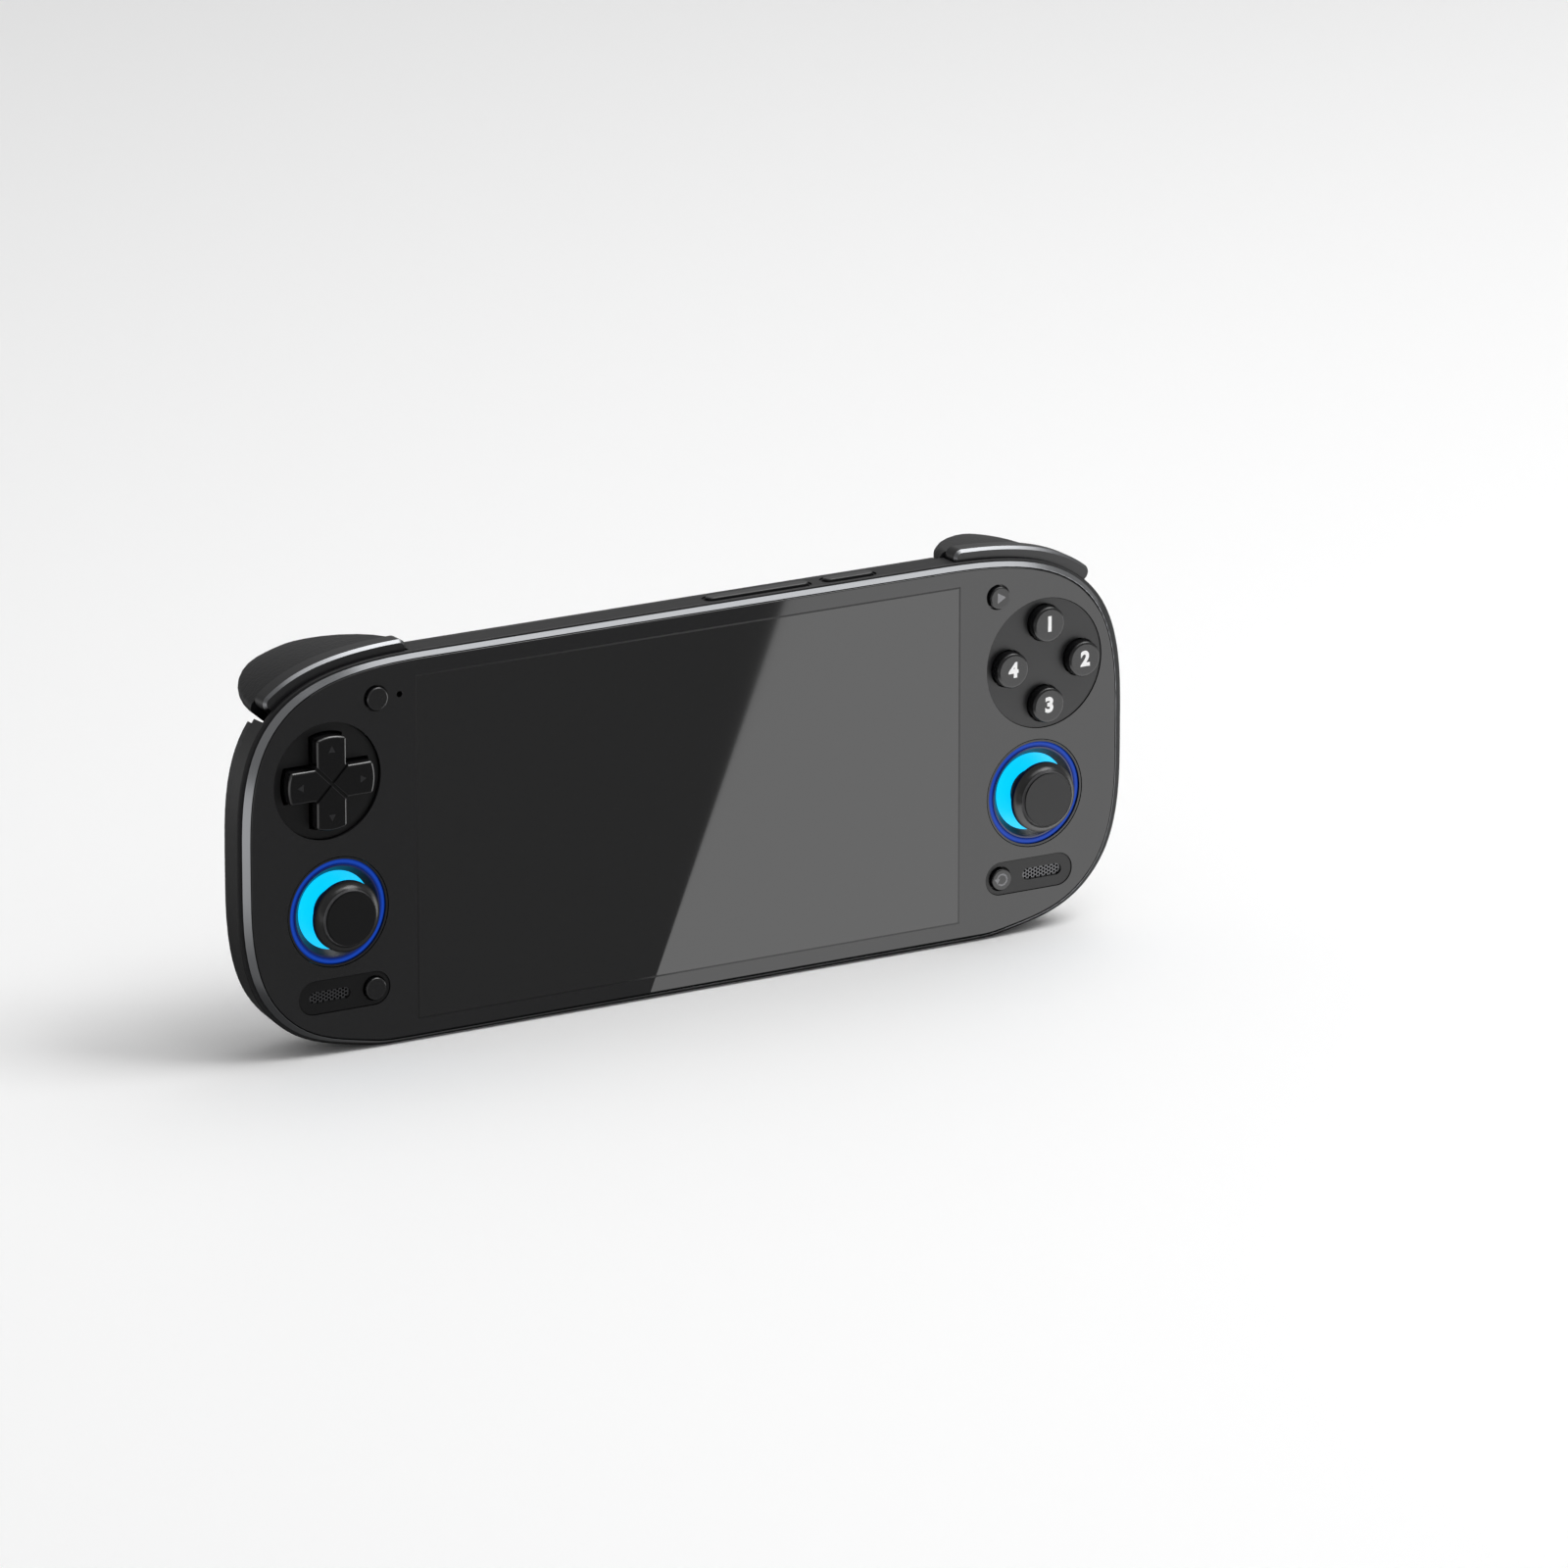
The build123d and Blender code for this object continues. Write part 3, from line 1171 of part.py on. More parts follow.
power_flange_top = wall_under - power_drop
power_under = power_flange_top - power_flange_thickness
with BuildPart() as power_button:
    top_face = top_pills(power_flange_top, power_length, top_button_width, power_centre)
    extrude(top_face, amount=rocker_top - power_flange_top)
    fillet(power_button.faces().sort_by(Axis.Z)[-1].edges(), top_button_round)
    flange = top_blocks(power_under, power_length + 2 * rocker_flange, top_button_width, power_centre)
    extrude(flange, amount=power_flange_thickness)
    foot = top_blocks(power_under - power_stem, rocker_foot, rocker_foot, power_centre)
    extrude(foot, amount=power_stem)
save(power_button, "power_button")

side_board_z = body_height - side_board_below_top
switch_base = side_board_z - side_board_thickness
side_board_left = rocker_centre - rocker_length / 2 - side_board_border
side_board_right = power_centre + power_length / 2 + side_board_border
nib_places = [rocker_centre - rocker_nib_pitch / 2, rocker_centre + rocker_nib_pitch / 2]
with BuildPart() as side_switch_board:
    with BuildSketch(Plane.XY.offset(switch_base)):
        with Locations((side_board_left, y_at(plate_back))):
            side_board_length = side_board_right - side_board_left
            Rectangle(side_board_length, side_board_width, align=(Align.MIN, Align.MIN))
    extrude(amount=side_board_thickness)
    nib_top = body_height - rocker_switch_below_top
    extrude(top_blocks(side_board_z, rocker_foot, rocker_foot, *nib_places), amount=nib_top - side_board_z)
    post_top = body_height - rocker_post_below_top
    extrude(top_blocks(side_board_z, rocker_foot, rocker_foot, rocker_centre), amount=post_top - side_board_z)
    power_switch_top = body_height - power_switch_below_top
    power_switch = top_blocks(side_board_z, rocker_foot, rocker_foot, power_centre)
    extrude(power_switch, amount=power_switch_top - side_board_z)
save(side_switch_board, "side_switch_board")

# Mainboard with its processor
tall_board_w = mainboard_right - mainboard_left
tongue_w = mainboard_left + tongue_left
with BuildPart() as mainboard:
    with BuildSketch(at_depth(mainboard_back)):
        with Locations((mainboard_left, mainboard_bottom)):
            Rectangle(tall_board_w, mainboard_top - mainboard_bottom, align=(Align.MIN, Align.MIN))
        with Locations((-tongue_left, mainboard_bottom)):
            Rectangle(tongue_w, tongue_top - mainboard_bottom, align=(Align.MIN, Align.MIN))
        with Locations((boss_x, boss_from_edge), (boss_x, boss_top_z)):
            Circle(boss_r + board_hole_gap, mode=Mode.SUBTRACT)
    extrude(amount=mainboard_thickness)
    chip_z = heat_plate_bottom + heat_plate_height / 2
    chip_back = mainboard_back + chip_height
    extrude(blocks(chip_back, chip_size, chip_size, (fan_x, chip_z)), amount=chip_height)
save(mainboard, "mainboard")

# Heat sink: plate on the processor, heat pipe and fins
plate_back_depth = chip_back + heat_plate_thickness
pipe_back = plate_back_depth + heat_pipe_thickness
fins_back = mainboard_back + part_gap + fin_depth
with BuildPart() as heat_sink:
    extrude(blocks(plate_back_depth, heat_plate_width, heat_plate_height, (fan_x, chip_z)), amount=heat_plate_thickness)
    pipe_height = heat_pipe_z + heat_pipe_width / 2 - heat_plate_bottom
    pipe_places = (heat_pipe_x, heat_plate_bottom + pipe_height / 2)
    extrude(blocks(pipe_back, heat_pipe_width, pipe_height, pipe_places), amount=heat_pipe_thickness)
    fins_left = fin_x - fin_pitch * (fin_count - 1) / 2 - fin_thickness
    bar_length = heat_pipe_x + heat_pipe_width / 2 - fins_left
    bar_place = (fins_left + bar_length / 2, heat_pipe_z)
    extrude(blocks(pipe_back, bar_length, heat_pipe_width, bar_place), amount=heat_pipe_thickness)
    with BuildSketch(at_depth(fins_back)):
        with Locations((fin_x, fin_bottom + fin_height / 2)):
            with GridLocations(fin_pitch, 0, fin_count, 1):
                Rectangle(fin_thickness, fin_height)
    extrude(amount=fin_depth)
save(heat_sink, "heat_sink")

# Fan: housing with its pin, and rotor
fan_back = mainboard_back + fan_height
fan_floor = mainboard_back + fan_wall
with BuildPart() as fan_housing:
    extrude(blocks(fan_back, fan_size, fan_size, (fan_x, fan_z)), amount=fan_height)
    extrude(discs(fan_back - fan_wall, fan_room_r, (fan_x, fan_z)), amount=fan_height - 2 * fan_wall, mode=Mode.SUBTRACT)
    outlet = blocks(fan_back - fan_wall, fan_outlet, fan_size / 2, (fin_x, fan_z + fan_size / 4))
    extrude(outlet, amount=fan_height - 2 * fan_wall, mode=Mode.SUBTRACT)
    extrude(discs(fan_back, fan_mouth_r, (fan_x, fan_z)), amount=fan_wall, mode=Mode.SUBTRACT)
    extrude(discs(fan_back - fan_wall, fan_pin_r, (fan_x, fan_z)), amount=fan_height - 2 * fan_wall)
save(fan_housing, "fan_housing")

rotor_back = fan_back - fan_wall - fan_gap
rotor_height = rotor_back - fan_floor - fan_gap
blade_length = fan_rotor_r - fan_hub_r + fan_wall
with BuildPart() as fan_rotor:
    extrude(discs(rotor_back, fan_hub_r, (fan_x, fan_z)), amount=rotor_height)
    with BuildSketch(at_depth(rotor_back)):
        with Locations((fan_x, fan_z)):
            with PolarLocations((fan_rotor_r + fan_hub_r - fan_wall) / 2, fan_blades):
                Rectangle(blade_length, fan_blade_thickness, rotation=fan_blade_turn)
    extrude(amount=rotor_height)
    extrude(discs(rotor_back, fan_pin_r + running_fit, (fan_x, fan_z)), amount=rotor_height, mode=Mode.SUBTRACT)
save(fan_rotor, "fan_rotor")

# Battery
with BuildPart() as battery:
    battery_w = battery_left - battery_right
    battery_place = (-(battery_left + battery_right) / 2, battery_bottom + battery_height / 2)
    extrude(blocks(plate_back + battery_thickness, battery_w, battery_height, battery_place), amount=battery_thickness)
    fillet(battery.edges().filter_by(Axis.Z), battery_round)
save(battery, "battery")

# Port in the lower edge and its tongue
with BuildPart() as usb_c_port:
    with BuildSketch(Plane.XY.offset(port_recess)):
        SlotOverall(port_width, port_height)
    extrude(amount=port_length)
    with BuildSketch(Plane.XY.offset(port_recess)):
        SlotOverall(port_width - 2 * port_wall, port_height - 2 * port_wall)
    extrude(amount=port_length - port_wall, mode=Mode.SUBTRACT)
    with BuildSketch(Plane.XY.offset(port_recess + port_tongue_inset)):
        Rectangle(port_tongue_width, port_tongue_height)
    extrude(amount=port_length - port_tongue_inset)
    with BuildSketch(Plane.XY.offset(mainboard_bottom)):
        Rectangle(port_foot_width, 2 * (mainboard_depth - port_depth), align=(Align.CENTER, Align.CENTER))
        Rectangle(port_foot_width, port_height, mode=Mode.SUBTRACT)
        Rectangle(port_foot_width, port_depth, align=(Align.CENTER, Align.MAX), mode=Mode.SUBTRACT)
    extrude(amount=port_length + port_recess - mainboard_bottom)
save(usb_c_port, "usb_c_port")

# Memory card slot
with BuildPart() as card_slot:
    card_z = wall + seat_gap
    card_y = y_at(mainboard_depth - card_slot_height / 2)
    with BuildSketch(Plane.XY.offset(card_z)):
        with Locations((card_slot_x, card_y)):
            Rectangle(card_slot_width, card_slot_height)
    extrude(amount=card_slot_length)
    with BuildSketch(Plane.XY.offset(card_z)):
        with Locations((card_slot_x, card_y)):
            Rectangle(card_mouth_width, card_mouth_height)
    extrude(amount=card_slot_length - wall, mode=Mode.SUBTRACT)
save(card_slot, "card_slot")
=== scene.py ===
import math

import bpy
from mathutils import Matrix, Vector


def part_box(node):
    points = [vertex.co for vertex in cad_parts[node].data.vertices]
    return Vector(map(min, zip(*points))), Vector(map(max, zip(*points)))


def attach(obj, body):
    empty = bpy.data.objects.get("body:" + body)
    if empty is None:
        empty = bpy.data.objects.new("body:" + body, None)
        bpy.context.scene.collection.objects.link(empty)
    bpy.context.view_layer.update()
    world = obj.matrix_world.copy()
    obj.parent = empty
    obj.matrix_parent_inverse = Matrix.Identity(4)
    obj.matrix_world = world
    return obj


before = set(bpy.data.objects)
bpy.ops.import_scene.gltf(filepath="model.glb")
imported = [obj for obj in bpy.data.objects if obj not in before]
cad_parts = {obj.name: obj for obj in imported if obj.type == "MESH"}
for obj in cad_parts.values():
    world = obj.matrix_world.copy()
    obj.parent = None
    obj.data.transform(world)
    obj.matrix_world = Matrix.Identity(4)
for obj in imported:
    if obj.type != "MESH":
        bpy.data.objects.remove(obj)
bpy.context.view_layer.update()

# Lengths of the console are in millimetres here, those of the lamps and the camera in metres
MM = 0.001
DISPLAY_BORDER = 1.5
DISPLAY_LINE = 0.4
MARK_DEPTH = 0.3
PAD_MARK_PLACE = 7.6
ARROW_RADIUS = 1.25
NUMERAL_SIZE = 4.7
NUMERAL_WEIGHT = 0.22
PRINT_THICKNESS = 0.01
BUTTON_BLACK = (0.005, 0.005, 0.0055)
PAD_BLACK = (0.0032, 0.0032, 0.0035)
RUBBER_BLACK = (0.004, 0.004, 0.0044)
SHOULDER_BLACK = (0.009, 0.009, 0.01)


class Value:
    """A number in a material's nodes, with sums, products and comparisons."""

    def __init__(self, look, socket):
        self.look = look
        self.socket = socket

    def __add__(self, other):
        return self.look.maths("ADD", self, other)

    def __sub__(self, other):
        return self.look.maths("SUBTRACT", self, other)

    def __rsub__(self, other):
        return self.look.maths("SUBTRACT", other, self)

    def __mul__(self, other):
        return self.look.maths("MULTIPLY", self, other)

    def __truediv__(self, other):
        return self.look.maths("DIVIDE", self, other)

    def __abs__(self):
        return self.look.maths("ABSOLUTE", self)

    def __lt__(self, other):
        return self.look.maths("LESS_THAN", self, other)

    def __gt__(self, other):
        return self.look.maths("GREATER_THAN", self, other)

    __radd__ = __add__
    __rmul__ = __mul__

    def clamped(self):
        """This value, kept between 0 and 1."""
        return self.look.maths("MAXIMUM", self.look.maths("MINIMUM", self, 1.0), 0.0)


class Material:
    """A procedural material: one principled shader and the nodes that feed it."""

    def __init__(self, name, color=(0.0, 0.0, 0.0), specular=0.5, metallic=0.0):
        self.material = bpy.data.materials.new(name)
        self.material.use_nodes = True
        self.tree = self.material.node_tree
        self.shader = self.tree.nodes["Principled BSDF"]
        self.set("Base Color", color)
        self.set("Specular IOR Level", specular)
        self.set("Metallic", metallic)
        self.coordinates = self.node("TexCoord")

    def node(self, kind, settings=None, sockets=None):
        """Makes a node, sets it up, and then fills its sockets by name or number."""
        node = self.tree.nodes.new("ShaderNode" + kind)
        for name, value in (settings or {}).items():
            setattr(node, name, value)
        for name, value in (sockets or {}).items():
            self.fill(node.inputs[name], value)
        return node

    def fill(self, socket, value):
        """Gives a socket a number or a colour, or links it to a value or another socket."""
        if isinstance(value, Value):
            value = value.socket
        if isinstance(value, bpy.types.NodeSocket):
            self.tree.links.new(value, socket)
        elif socket.type == "RGBA":
            socket.default_value = (*value, 1.0)
        else:
            socket.default_value = value

    def set(self, name, value):
        """Fills a socket of the principled shader."""
        self.fill(self.shader.inputs[name], value)

    def maths(self, operation, *terms):
        """The value of one maths node on numbers or values."""
        node = self.node("Math", {"operation": operation}, dict(enumerate(terms)))
        return Value(self, node.outputs[0])

    def split(self, output):
        """The three numbers of a coordinate."""
        node = self.node("SeparateXYZ", sockets={0: self.coordinates.outputs[output]})
        return [Value(self, socket) for socket in node.outputs]

    def place(self):
        """The x, y and z of the place in millimetres."""
        return [value / MM for value in self.split("Object")]

    def facing(self):
        """The y of the surface's normal, -1 where it faces the front."""
        return self.split("Normal")[1]

    def edges(self):
        """1 where the surface turns away from the front, as it does round an edge."""
        return self.facing() > -0.97

    def noise(self, size, stretch=(1, 1, 1)):
        """Soft noise between 0 and 1, with spots of a size in millimetres."""
        scale = [1 / (size * MM * part) for part in stretch]
        mapping = self.node("Mapping", sockets={"Vector": self.coordinates.outputs["Object"], "Scale": scale})
        node = self.node("TexNoise", sockets={"Vector": mapping.outputs[0], "Scale": 1.0, "Detail": 2.0})
        return Value(self, node.outputs["Fac"])

    def cells(self, size):
        """The distance from the middle of small cells of a size, for a grained surface."""
        sockets = {"Vector": self.coordinates.outputs["Object"], "Scale": 1 / (size * MM)}
        return Value(self, self.node("TexVoronoi", sockets=sockets).outputs["Distance"])

    def mix(self, share, first, second):
        """A mix of two colours."""
        sockets = {"Factor": share, "A": first, "B": second}
        return self.node("Mix", {"data_type": "RGBA"}, sockets).outputs["Result"]

    def mix_shaders(self, share, first, second):
        """A mix of two shaders."""
        return self.node("MixShader", sockets={0: share, 1: first, 2: second}).outputs[0]

    def card(self, level):
        """An even light of a level, as a shader."""
        return self.node("Emission", sockets={"Strength": level}).outputs[0]

    def roughen(self, base, drift, size, stretch=(1, 1, 1)):
        """A roughness that drifts up from its base over soft spots of a size."""
        self.set("Roughness", self.noise(size, stretch) * drift + base)

    def coat(self, weight, roughness):
        """A clear coat, with a weight that may vary."""
        self.set("Coat Weight", weight)
        self.set("Coat Roughness", roughness)

    def glow(self, color):
        """Light of a colour that may vary."""
        self.set("Emission Color", color)
        self.set("Emission Strength", 1.0)

    def bump(self, height, depth, strength):
        """Raises the surface by a height value times a depth in millimetres."""
        sockets = {"Height": height, "Distance": depth * MM, "Strength": strength}
        self.set("Normal", self.node("Bump", sockets=sockets).outputs[0])


def dress(surface, *names):
    """Gives CAD nodes a material."""
    for name in names:
        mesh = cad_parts[name].data
        mesh.materials.clear()
        mesh.materials.append(surface.material)


def both(name):
    """The left and the right node of a pair."""
    return ["left_" + name, "right_" + name]


def box(name):
    """The lowest and the highest corner of a CAD node in millimetres."""
    return [[value / MM for value in corner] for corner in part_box(name)]


def middle(name):
    """The middle of a CAD node in millimetres."""
    return [(low + high) / 2 for low, high in zip(*box(name))]


def front_face(surface, name):
    """How far a place is across and up from the middle of a node, and 1 on the node's front."""
    x, y, z = surface.place()
    middle_x, middle_y, middle_z = middle(name)
    front = box(name)[0][1]
    return x - middle_x, z - middle_z, y < front + MARK_DEPTH


def distance(across, up):
    """How far a place is from where across and up are zero."""
    return across.look.maths("SQRT", across * across + up * up)


def stick_radius(surface):
    """How far a place is from the axis of the nearer stick."""
    x, y, z = surface.place()
    stick_x, stick_y, stick_z = middle("right_stick_cap")
    return distance(abs(x) - stick_x, z - stick_z)


def inside(value, centre, half):
    """1 where a value is within a half width of a centre."""
    return abs(value - centre) < half


def peak(value, centre, reach):
    """1 at a centre, falling to 0 at a reach from it."""
    return (1.0 - abs(value - centre) / reach).clamped()


def triangle(across, up, reach, turn):
    """1 inside a triangle with sides at a reach from its middle, pointing along a turn in degrees."""
    sides = [math.radians(turn + 180 + corner) for corner in (0, 120, 240)]
    return math.prod((across * math.cos(side) + up * math.sin(side)) < reach for side in sides)


# Front glass: black, with the display's area a shade darker and glossier inside a fine dull line
glass = Material("cover_glass")
x, y, z = glass.place()
panel_x, panel_y, panel_z = middle("display_panel")
half_width = box("display_panel")[1][0] - panel_x - DISPLAY_BORDER
half_height = box("display_panel")[1][2] - panel_z - DISPLAY_BORDER
in_display = inside(x, panel_x, half_width) * inside(z, panel_z, half_height)
in_border = inside(x, panel_x, half_width + DISPLAY_LINE) * inside(z, panel_z, half_height + DISPLAY_LINE)
display_line = in_border - in_display
glass.set("Base Color", glass.mix(in_border, (0.0055, 0.0055, 0.006), (0.002, 0.002, 0.0022)))
glass.set("Roughness", glass.noise(size=30) * 0.02 + display_line * 0.4 + 0.03)
glass.coat(in_display * 0.22, roughness=0.03)
dress(glass, "front_glass")

# Bright rim
rim = Material("bright_rim", (0.26, 0.265, 0.275), metallic=1.0)
rim.roughen(base=0.2, drift=0.06, size=25)
dress(rim, "front_frame")

# Black body
body = Material("black_body", (0.007, 0.007, 0.0078), specular=0.35)
body.roughen(base=0.46, drift=0.06, size=2.0)
body.bump(body.noise(size=0.25), depth=0.02, strength=0.3)
dress(body, "mid_frame", "rear_cover")

# Well plate of the face buttons
well = Material("well_black", (0.006, 0.006, 0.0066), specular=0.4)
well.roughen(base=0.36, drift=0.05, size=3.0)
dress(well, "face_button_bezel")

# Darker well plate of the direction pad, and the speakers' plates
pad_well = Material("pad_well_black", (0.0035, 0.0035, 0.0038), specular=0.3)
pad_well.roughen(base=0.36, drift=0.05, size=3.0)
dress(pad_well, "dpad_bezel", *both("speaker_plate"))

# Smooth black plastic of the top edge's buttons, the fan and the sticks' inner domes
smooth = Material("smooth_black", (0.010, 0.010, 0.011))
smooth.roughen(base=0.26, drift=0.08, size=3.0)
dress(smooth, "volume_rocker", "power_button", "fan_rotor", "fan_housing", *both("stick_pivot"))

# Face buttons
button = Material("button_black", BUTTON_BLACK, specular=0.45)
button.roughen(base=0.24, drift=0.05, size=2.0)
dress(button, "face_button_top", "face_button_right", "face_button_bottom", "face_button_left")

# Plain small buttons, shinier round the edge
small = Material("small_button_black", BUTTON_BLACK, specular=0.45)
small.roughen(base=0.24, drift=0.05, size=2.0)
small.coat(small.edges() * 0.6, roughness=0.16)
dress(small, "select_button", "left_menu_button")

# Start button with a plain triangle that points right
start = Material("start_button")
across, up, on_front = front_face(start, "start_button")
mark = triangle(across, up, reach=0.72, turn=0) * on_front
start.set("Base Color", start.mix(mark, BUTTON_BLACK, (0.20, 0.20, 0.21)))
start.set("Roughness", 0.26)
dress(start, "start_button")

# Menu button with a plain return arrow: a ring, open at its lower left, where the head points down
menu = Material("menu_button")
across, up, on_front = front_face(menu, "right_menu_button")
closed_part = (across > -0.25) + (up > 0.0) + (up < -0.9) > 0.5
ring = inside(distance(across, up), ARROW_RADIUS, half=0.2) * closed_part
head = triangle(across + ARROW_RADIUS, up + 0.1, reach=0.42, turn=-90)
mark = (ring + head > 0.5) * on_front
menu.set("Base Color", menu.mix(mark, BUTTON_BLACK, (0.16, 0.16, 0.17)))
menu.set("Roughness", 0.26)
dress(menu, "right_menu_button")

# Direction pad: a faint triangle on each arm, and painted highlight lines along both sides of one groove
pad = Material("direction_pad", specular=0.25)
across, up, on_front = front_face(pad, "dpad")


def arm_mark(turn):
    """1 inside the triangle on the arm that points along a turn in degrees."""
    mark_across = PAD_MARK_PLACE * math.cos(math.radians(turn))
    mark_up = PAD_MARK_PLACE * math.sin(math.radians(turn))
    return triangle(across - mark_across, up - mark_up, reach=0.5, turn=turn)


arm_marks = sum(arm_mark(turn) for turn in (0, 90, 180, 270))
# Painted highlights: light lines along the groove's edges, where they would catch the light
groove_highlight_band = inside(across + up, -0.6, half=0.1) + inside(across + up, 0.6, half=0.06)
groove_highlight_lines = groove_highlight_band * inside(across - up, 0.0, half=7.6)
# The arms' printed triangles and the groove's painted highlights, in one lighter colour
print_and_groove_highlights = (arm_marks + groove_highlight_lines) * on_front
pad.set("Base Color", pad.mix(print_and_groove_highlights, PAD_BLACK, (0.020, 0.020, 0.021)))
pad.roughen(base=0.22, drift=0.05, size=2.0)
pad.coat(pad.edges(), roughness=0.16)
dress(pad, "dpad")

# Stick caps: soft rubber, shinier round the edge, with a painted highlight line round the flat top
cap = Material("stick_rubber", specular=0.3)
# Painted highlight: a light line round the flat top, where a groove's edge would catch the light
top_highlight_line = inside(stick_radius(cap), 6.35, half=0.16)
cap.set("Base Color", cap.mix(top_highlight_line, RUBBER_BLACK, (0.07, 0.07, 0.073)))
cap.roughen(base=0.32, drift=0.05, size=1.5)
cap.coat(cap.edges() * 0.45, roughness=0.22)
dress(cap, *both("stick_cap"))

# Blue light ring round each stick, brightest along its middle
ring_light = Material("blue_ring", (0.002, 0.006, 0.03), specular=0.15)
ring_light.set("Roughness", 0.4)
along_ring = peak(stick_radius(ring_light), 11.45, reach=0.8)
ring_light.glow(ring_light.mix(along_ring, (0.0, 0.004, 0.06), (0.005, 0.055, 0.44)))
dress(ring_light, *both("light_ring"))

# Cyan disc under each stick
disc_light = Material("cyan_disc", (0.0, 0.25, 0.4))
disc_light.set("Roughness", 0.4)
disc_light.glow((0.0, 0.56, 1.0))
dress(disc_light, *both("glow_disc"))

# Bezel of each stick, with a painted blue glow beside the ring, as of the ring's light falling on it
bowl = Material("bowl_painted_glow", (0.006, 0.006, 0.0065))
bowl.set("Roughness", 0.35)
# Painted glow: the ring's blue light, painted on the bezel as emission
painted_glow_share = peak(stick_radius(bowl), 10.7, reach=0.9)
bowl.glow(bowl.mix(painted_glow_share * painted_glow_share, (0.0, 0.0, 0.0), (0.0, 0.008, 0.10)))
dress(bowl, *both("stick_bezel"))

# Shoulder buttons: black with a bright bevel, which faces half forwards
shoulder = Material("shoulder", specular=0.4)
bevel = inside(shoulder.facing(), -math.sqrt(0.5), half=0.2)
shoulder.set("Base Color", shoulder.mix(bevel, SHOULDER_BLACK, (0.17, 0.173, 0.18)))
shoulder.set("Metallic", bevel)
shoulder.set("Roughness", shoulder.noise(size=6.0) * 0.05 + 0.32 - bevel * 0.06)
dress(shoulder, *both("shoulder_button"))

# Triggers: finely grained
trigger = Material("trigger", (0.009, 0.009, 0.0098), specular=0.3)
trigger.set("Roughness", 0.46)
trigger.bump(trigger.cells(size=0.7), depth=0.09, strength=0.5)
dress(trigger, *both("trigger"))

# Mesh of the speakers
mesh_metal = Material("speaker_mesh", (0.09, 0.09, 0.094), metallic=0.8)
mesh_metal.roughen(base=0.36, drift=0.1, size=0.8)
dress(mesh_metal, "speaker_meshes")

# Display panel behind the glass
panel = Material("display_panel", (0.004, 0.004, 0.005))
panel.roughen(base=0.18, drift=0.05, size=5.0)
dress(panel, "display_panel")

# Green circuit boards with lighter patches
board = Material("circuit_board")
board.set("Base Color", board.mix(board.cells(size=2.2) > 0.55, (0.01, 0.07, 0.045), (0.02, 0.11, 0.07)))
board.set("Roughness", 0.45)
dress(board, "mainboard", "side_switch_board")

# Dark control boards, which show a little through the triggers' openings
dark_board = Material("dark_circuit_board", (0.006, 0.006, 0.007))
dark_board.roughen(base=0.5, drift=0.06, size=4.0)
dress(dark_board, *both("control_board"))

# Dull wrap of the battery and the speakers' boxes
wrap = Material("battery_wrap", (0.03, 0.03, 0.033))
wrap.roughen(base=0.45, drift=0.1, size=4.0)
dress(wrap, "battery", "speakers")

# Copper of the heat sink
copper = Material("copper", (0.62, 0.30, 0.17), metallic=1.0)
copper.roughen(base=0.25, drift=0.15, size=1.5, stretch=(1, 1, 6))
dress(copper, "heat_sink")

# Steel of the ports, pins, screws, springs, brackets and the sticks' modules
steel = Material("steel", (0.45, 0.45, 0.46), metallic=1.0)
steel.roughen(base=0.25, drift=0.12, size=1.0)
dress(steel, "usb_c_port", "card_slot", "control_pins", "rear_cover_screws", "trigger_springs", "dpad_pivot")
dress(steel, *both("trigger_bracket"), *both("stick_module"), *both("stick_yoke"), *both("stick_stem"))

# Silicone membranes
silicone = Material("silicone", (0.06, 0.06, 0.065))
silicone.set("Roughness", 0.6)
silicone.bump(silicone.noise(size=0.8), depth=0.05, strength=0.3)
dress(silicone, "dpad_membrane", "face_button_membrane")

# White numerals, printed on the face buttons: the numeral, its button's node and its button's body
white = Material("white_print", (0.94, 0.94, 0.94))
white.roughen(base=0.45, drift=0.1, size=0.5)
numerals = (
    ("1", "face_button_top", "face_button_up"),
    ("2", "face_button_right", "face_button_to_right"),
    ("3", "face_button_bottom", "face_button_down"),
    ("4", "face_button_left", "face_button_to_left"),
)
for digit, button_node, button_body in numerals:
    bpy.ops.object.text_add()
    numeral = bpy.context.object
    numeral.name = "numeral_" + digit
    numeral.data.body = digit
    numeral.data.size = NUMERAL_SIZE * MM
    numeral.data.offset = NUMERAL_WEIGHT * MM
    numeral.data.extrude = PRINT_THICKNESS * MM
    numeral.data.align_x = "CENTER"
    numeral.data.align_y = "CENTER"
    bpy.ops.object.convert(target="MESH")
    button_x, button_y, button_z = middle(button_node)
    print_front = box(button_node)[0][1] - PRINT_THICKNESS
    upright = Matrix.Rotation(math.radians(90), 4, "X")
    numeral.data.transform(Matrix.Translation(Vector((button_x, print_front, button_z)) * MM) @ upright)
    numeral.data.materials.append(white.material)
    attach(numeral, button_body)

# Floor: white in front, light grey far behind
bpy.ops.mesh.primitive_plane_add(size=14)
floor = bpy.context.object
floor.name = "floor"
floor_look = Material("floor_look")
x, y, z = floor_look.place()
far = ((y - 150.0) / 900.0).clamped()
floor_look.set("Base Color", floor_look.mix(far, (0.95, 0.95, 0.95), (0.86, 0.86, 0.86)))
floor_look.set("Roughness", 0.6)
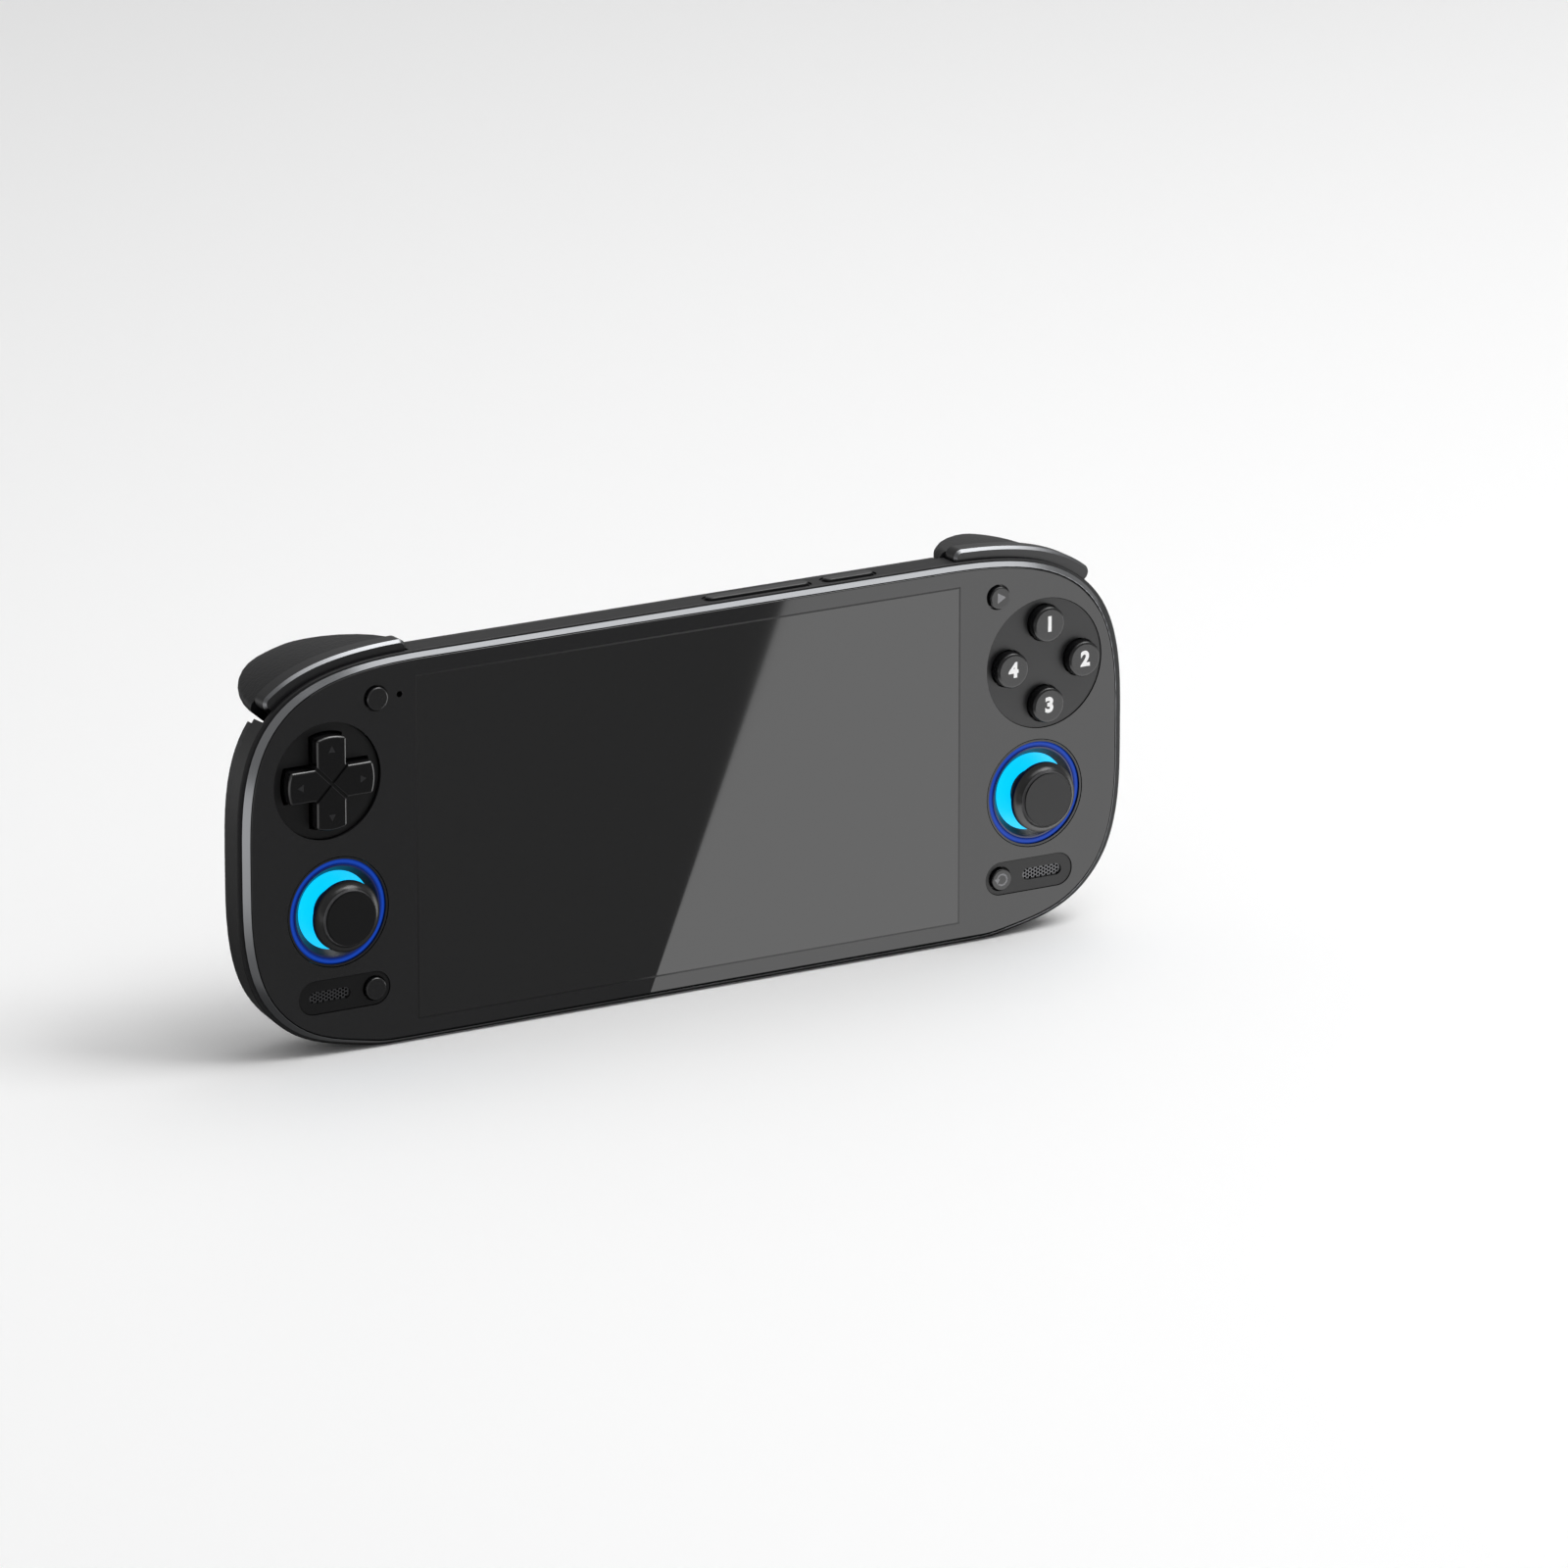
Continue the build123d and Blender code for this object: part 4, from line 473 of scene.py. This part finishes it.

# Cards on the floor for glossy rays alone: painted shade behind, darkish in front, lighter far left, and
# bright right of a slanted edge, which the glass mirrors; it runs 190 mm right for 262 mm forwards
CARD_EDGE_X, CARD_EDGE_Y = -9.0, -8.5
CARD_EDGE_LEAN = 190.0 / 262.0
in_front = y < -10.0
right_of_edge = (x - CARD_EDGE_X) + (y - CARD_EDGE_Y) * CARD_EDGE_LEAN > 0.0
bright = right_of_edge * (y > -700.0)
far_left = ((-150.0 - x) / 100.0).clamped()
# Painted shade: dark where the console's shadow would fall on the floor behind it, lighter far to the left
shaded_behind_card = floor_look.mix_shaders(far_left, floor_look.card(0.12), floor_look.card(0.92))
dark_card = floor_look.mix_shaders(far_left, floor_look.card(0.38), floor_look.card(1.18))
front_card = floor_look.mix_shaders(bright, dark_card, floor_look.card(2.58))
cards = floor_look.mix_shaders(in_front, shaded_behind_card, front_card)
glossy_ray = floor_look.node("LightPath").outputs["Is Glossy Ray"]
both_looks = floor_look.mix_shaders(glossy_ray, floor_look.shader.outputs[0], cards)
floor_look.fill(floor_look.tree.nodes["Material Output"].inputs["Surface"], both_looks)
floor.data.materials.append(floor_look.material)

# Soft studio light
world = bpy.data.worlds.new("studio")
world.use_nodes = True
world.node_tree.nodes["Background"].inputs["Color"].default_value = (1, 1, 1, 1)
world.node_tree.nodes["Background"].inputs["Strength"].default_value = 0.42
bpy.context.scene.world = world


def turned_to(place, aim):
    """The turn of a lamp or a camera at a place that looks at an aim."""
    return (Vector(aim) - Vector(place)).to_track_quat("-Z", "Y").to_euler()


def area_light(name, place, size, power):
    """A square soft light that looks at the console."""
    lamp = bpy.data.lights.new(name, "AREA")
    lamp.size = size
    lamp.energy = power
    holder = bpy.data.objects.new(name, lamp)
    holder.location = place
    holder.rotation_euler = turned_to(place, (0, 0, 0.04))
    bpy.context.collection.objects.link(holder)


area_light("key", (1.8, -1.125, 2.85), size=1.8, power=57)
area_light("top", (0.72, 0.33, 1.27), size=1.0, power=5)
area_light("edge", (0.12, -0.545, 1.21), size=0.7, power=3)

# Camera at the photograph's place
camera = bpy.data.objects.new("camera", bpy.data.cameras.new("camera"))
camera.data.lens = 295.9
camera.data.sensor_width = 36
camera.data.clip_end = 60
camera.location = (-1.3866, -2.3873, 0.86784)
camera.rotation_euler = turned_to(camera.location, (0.023966, -0.0051, 0.045159))
bpy.context.collection.objects.link(camera)
bpy.context.scene.camera = camera
bpy.context.scene.view_settings.view_transform = "Standard"
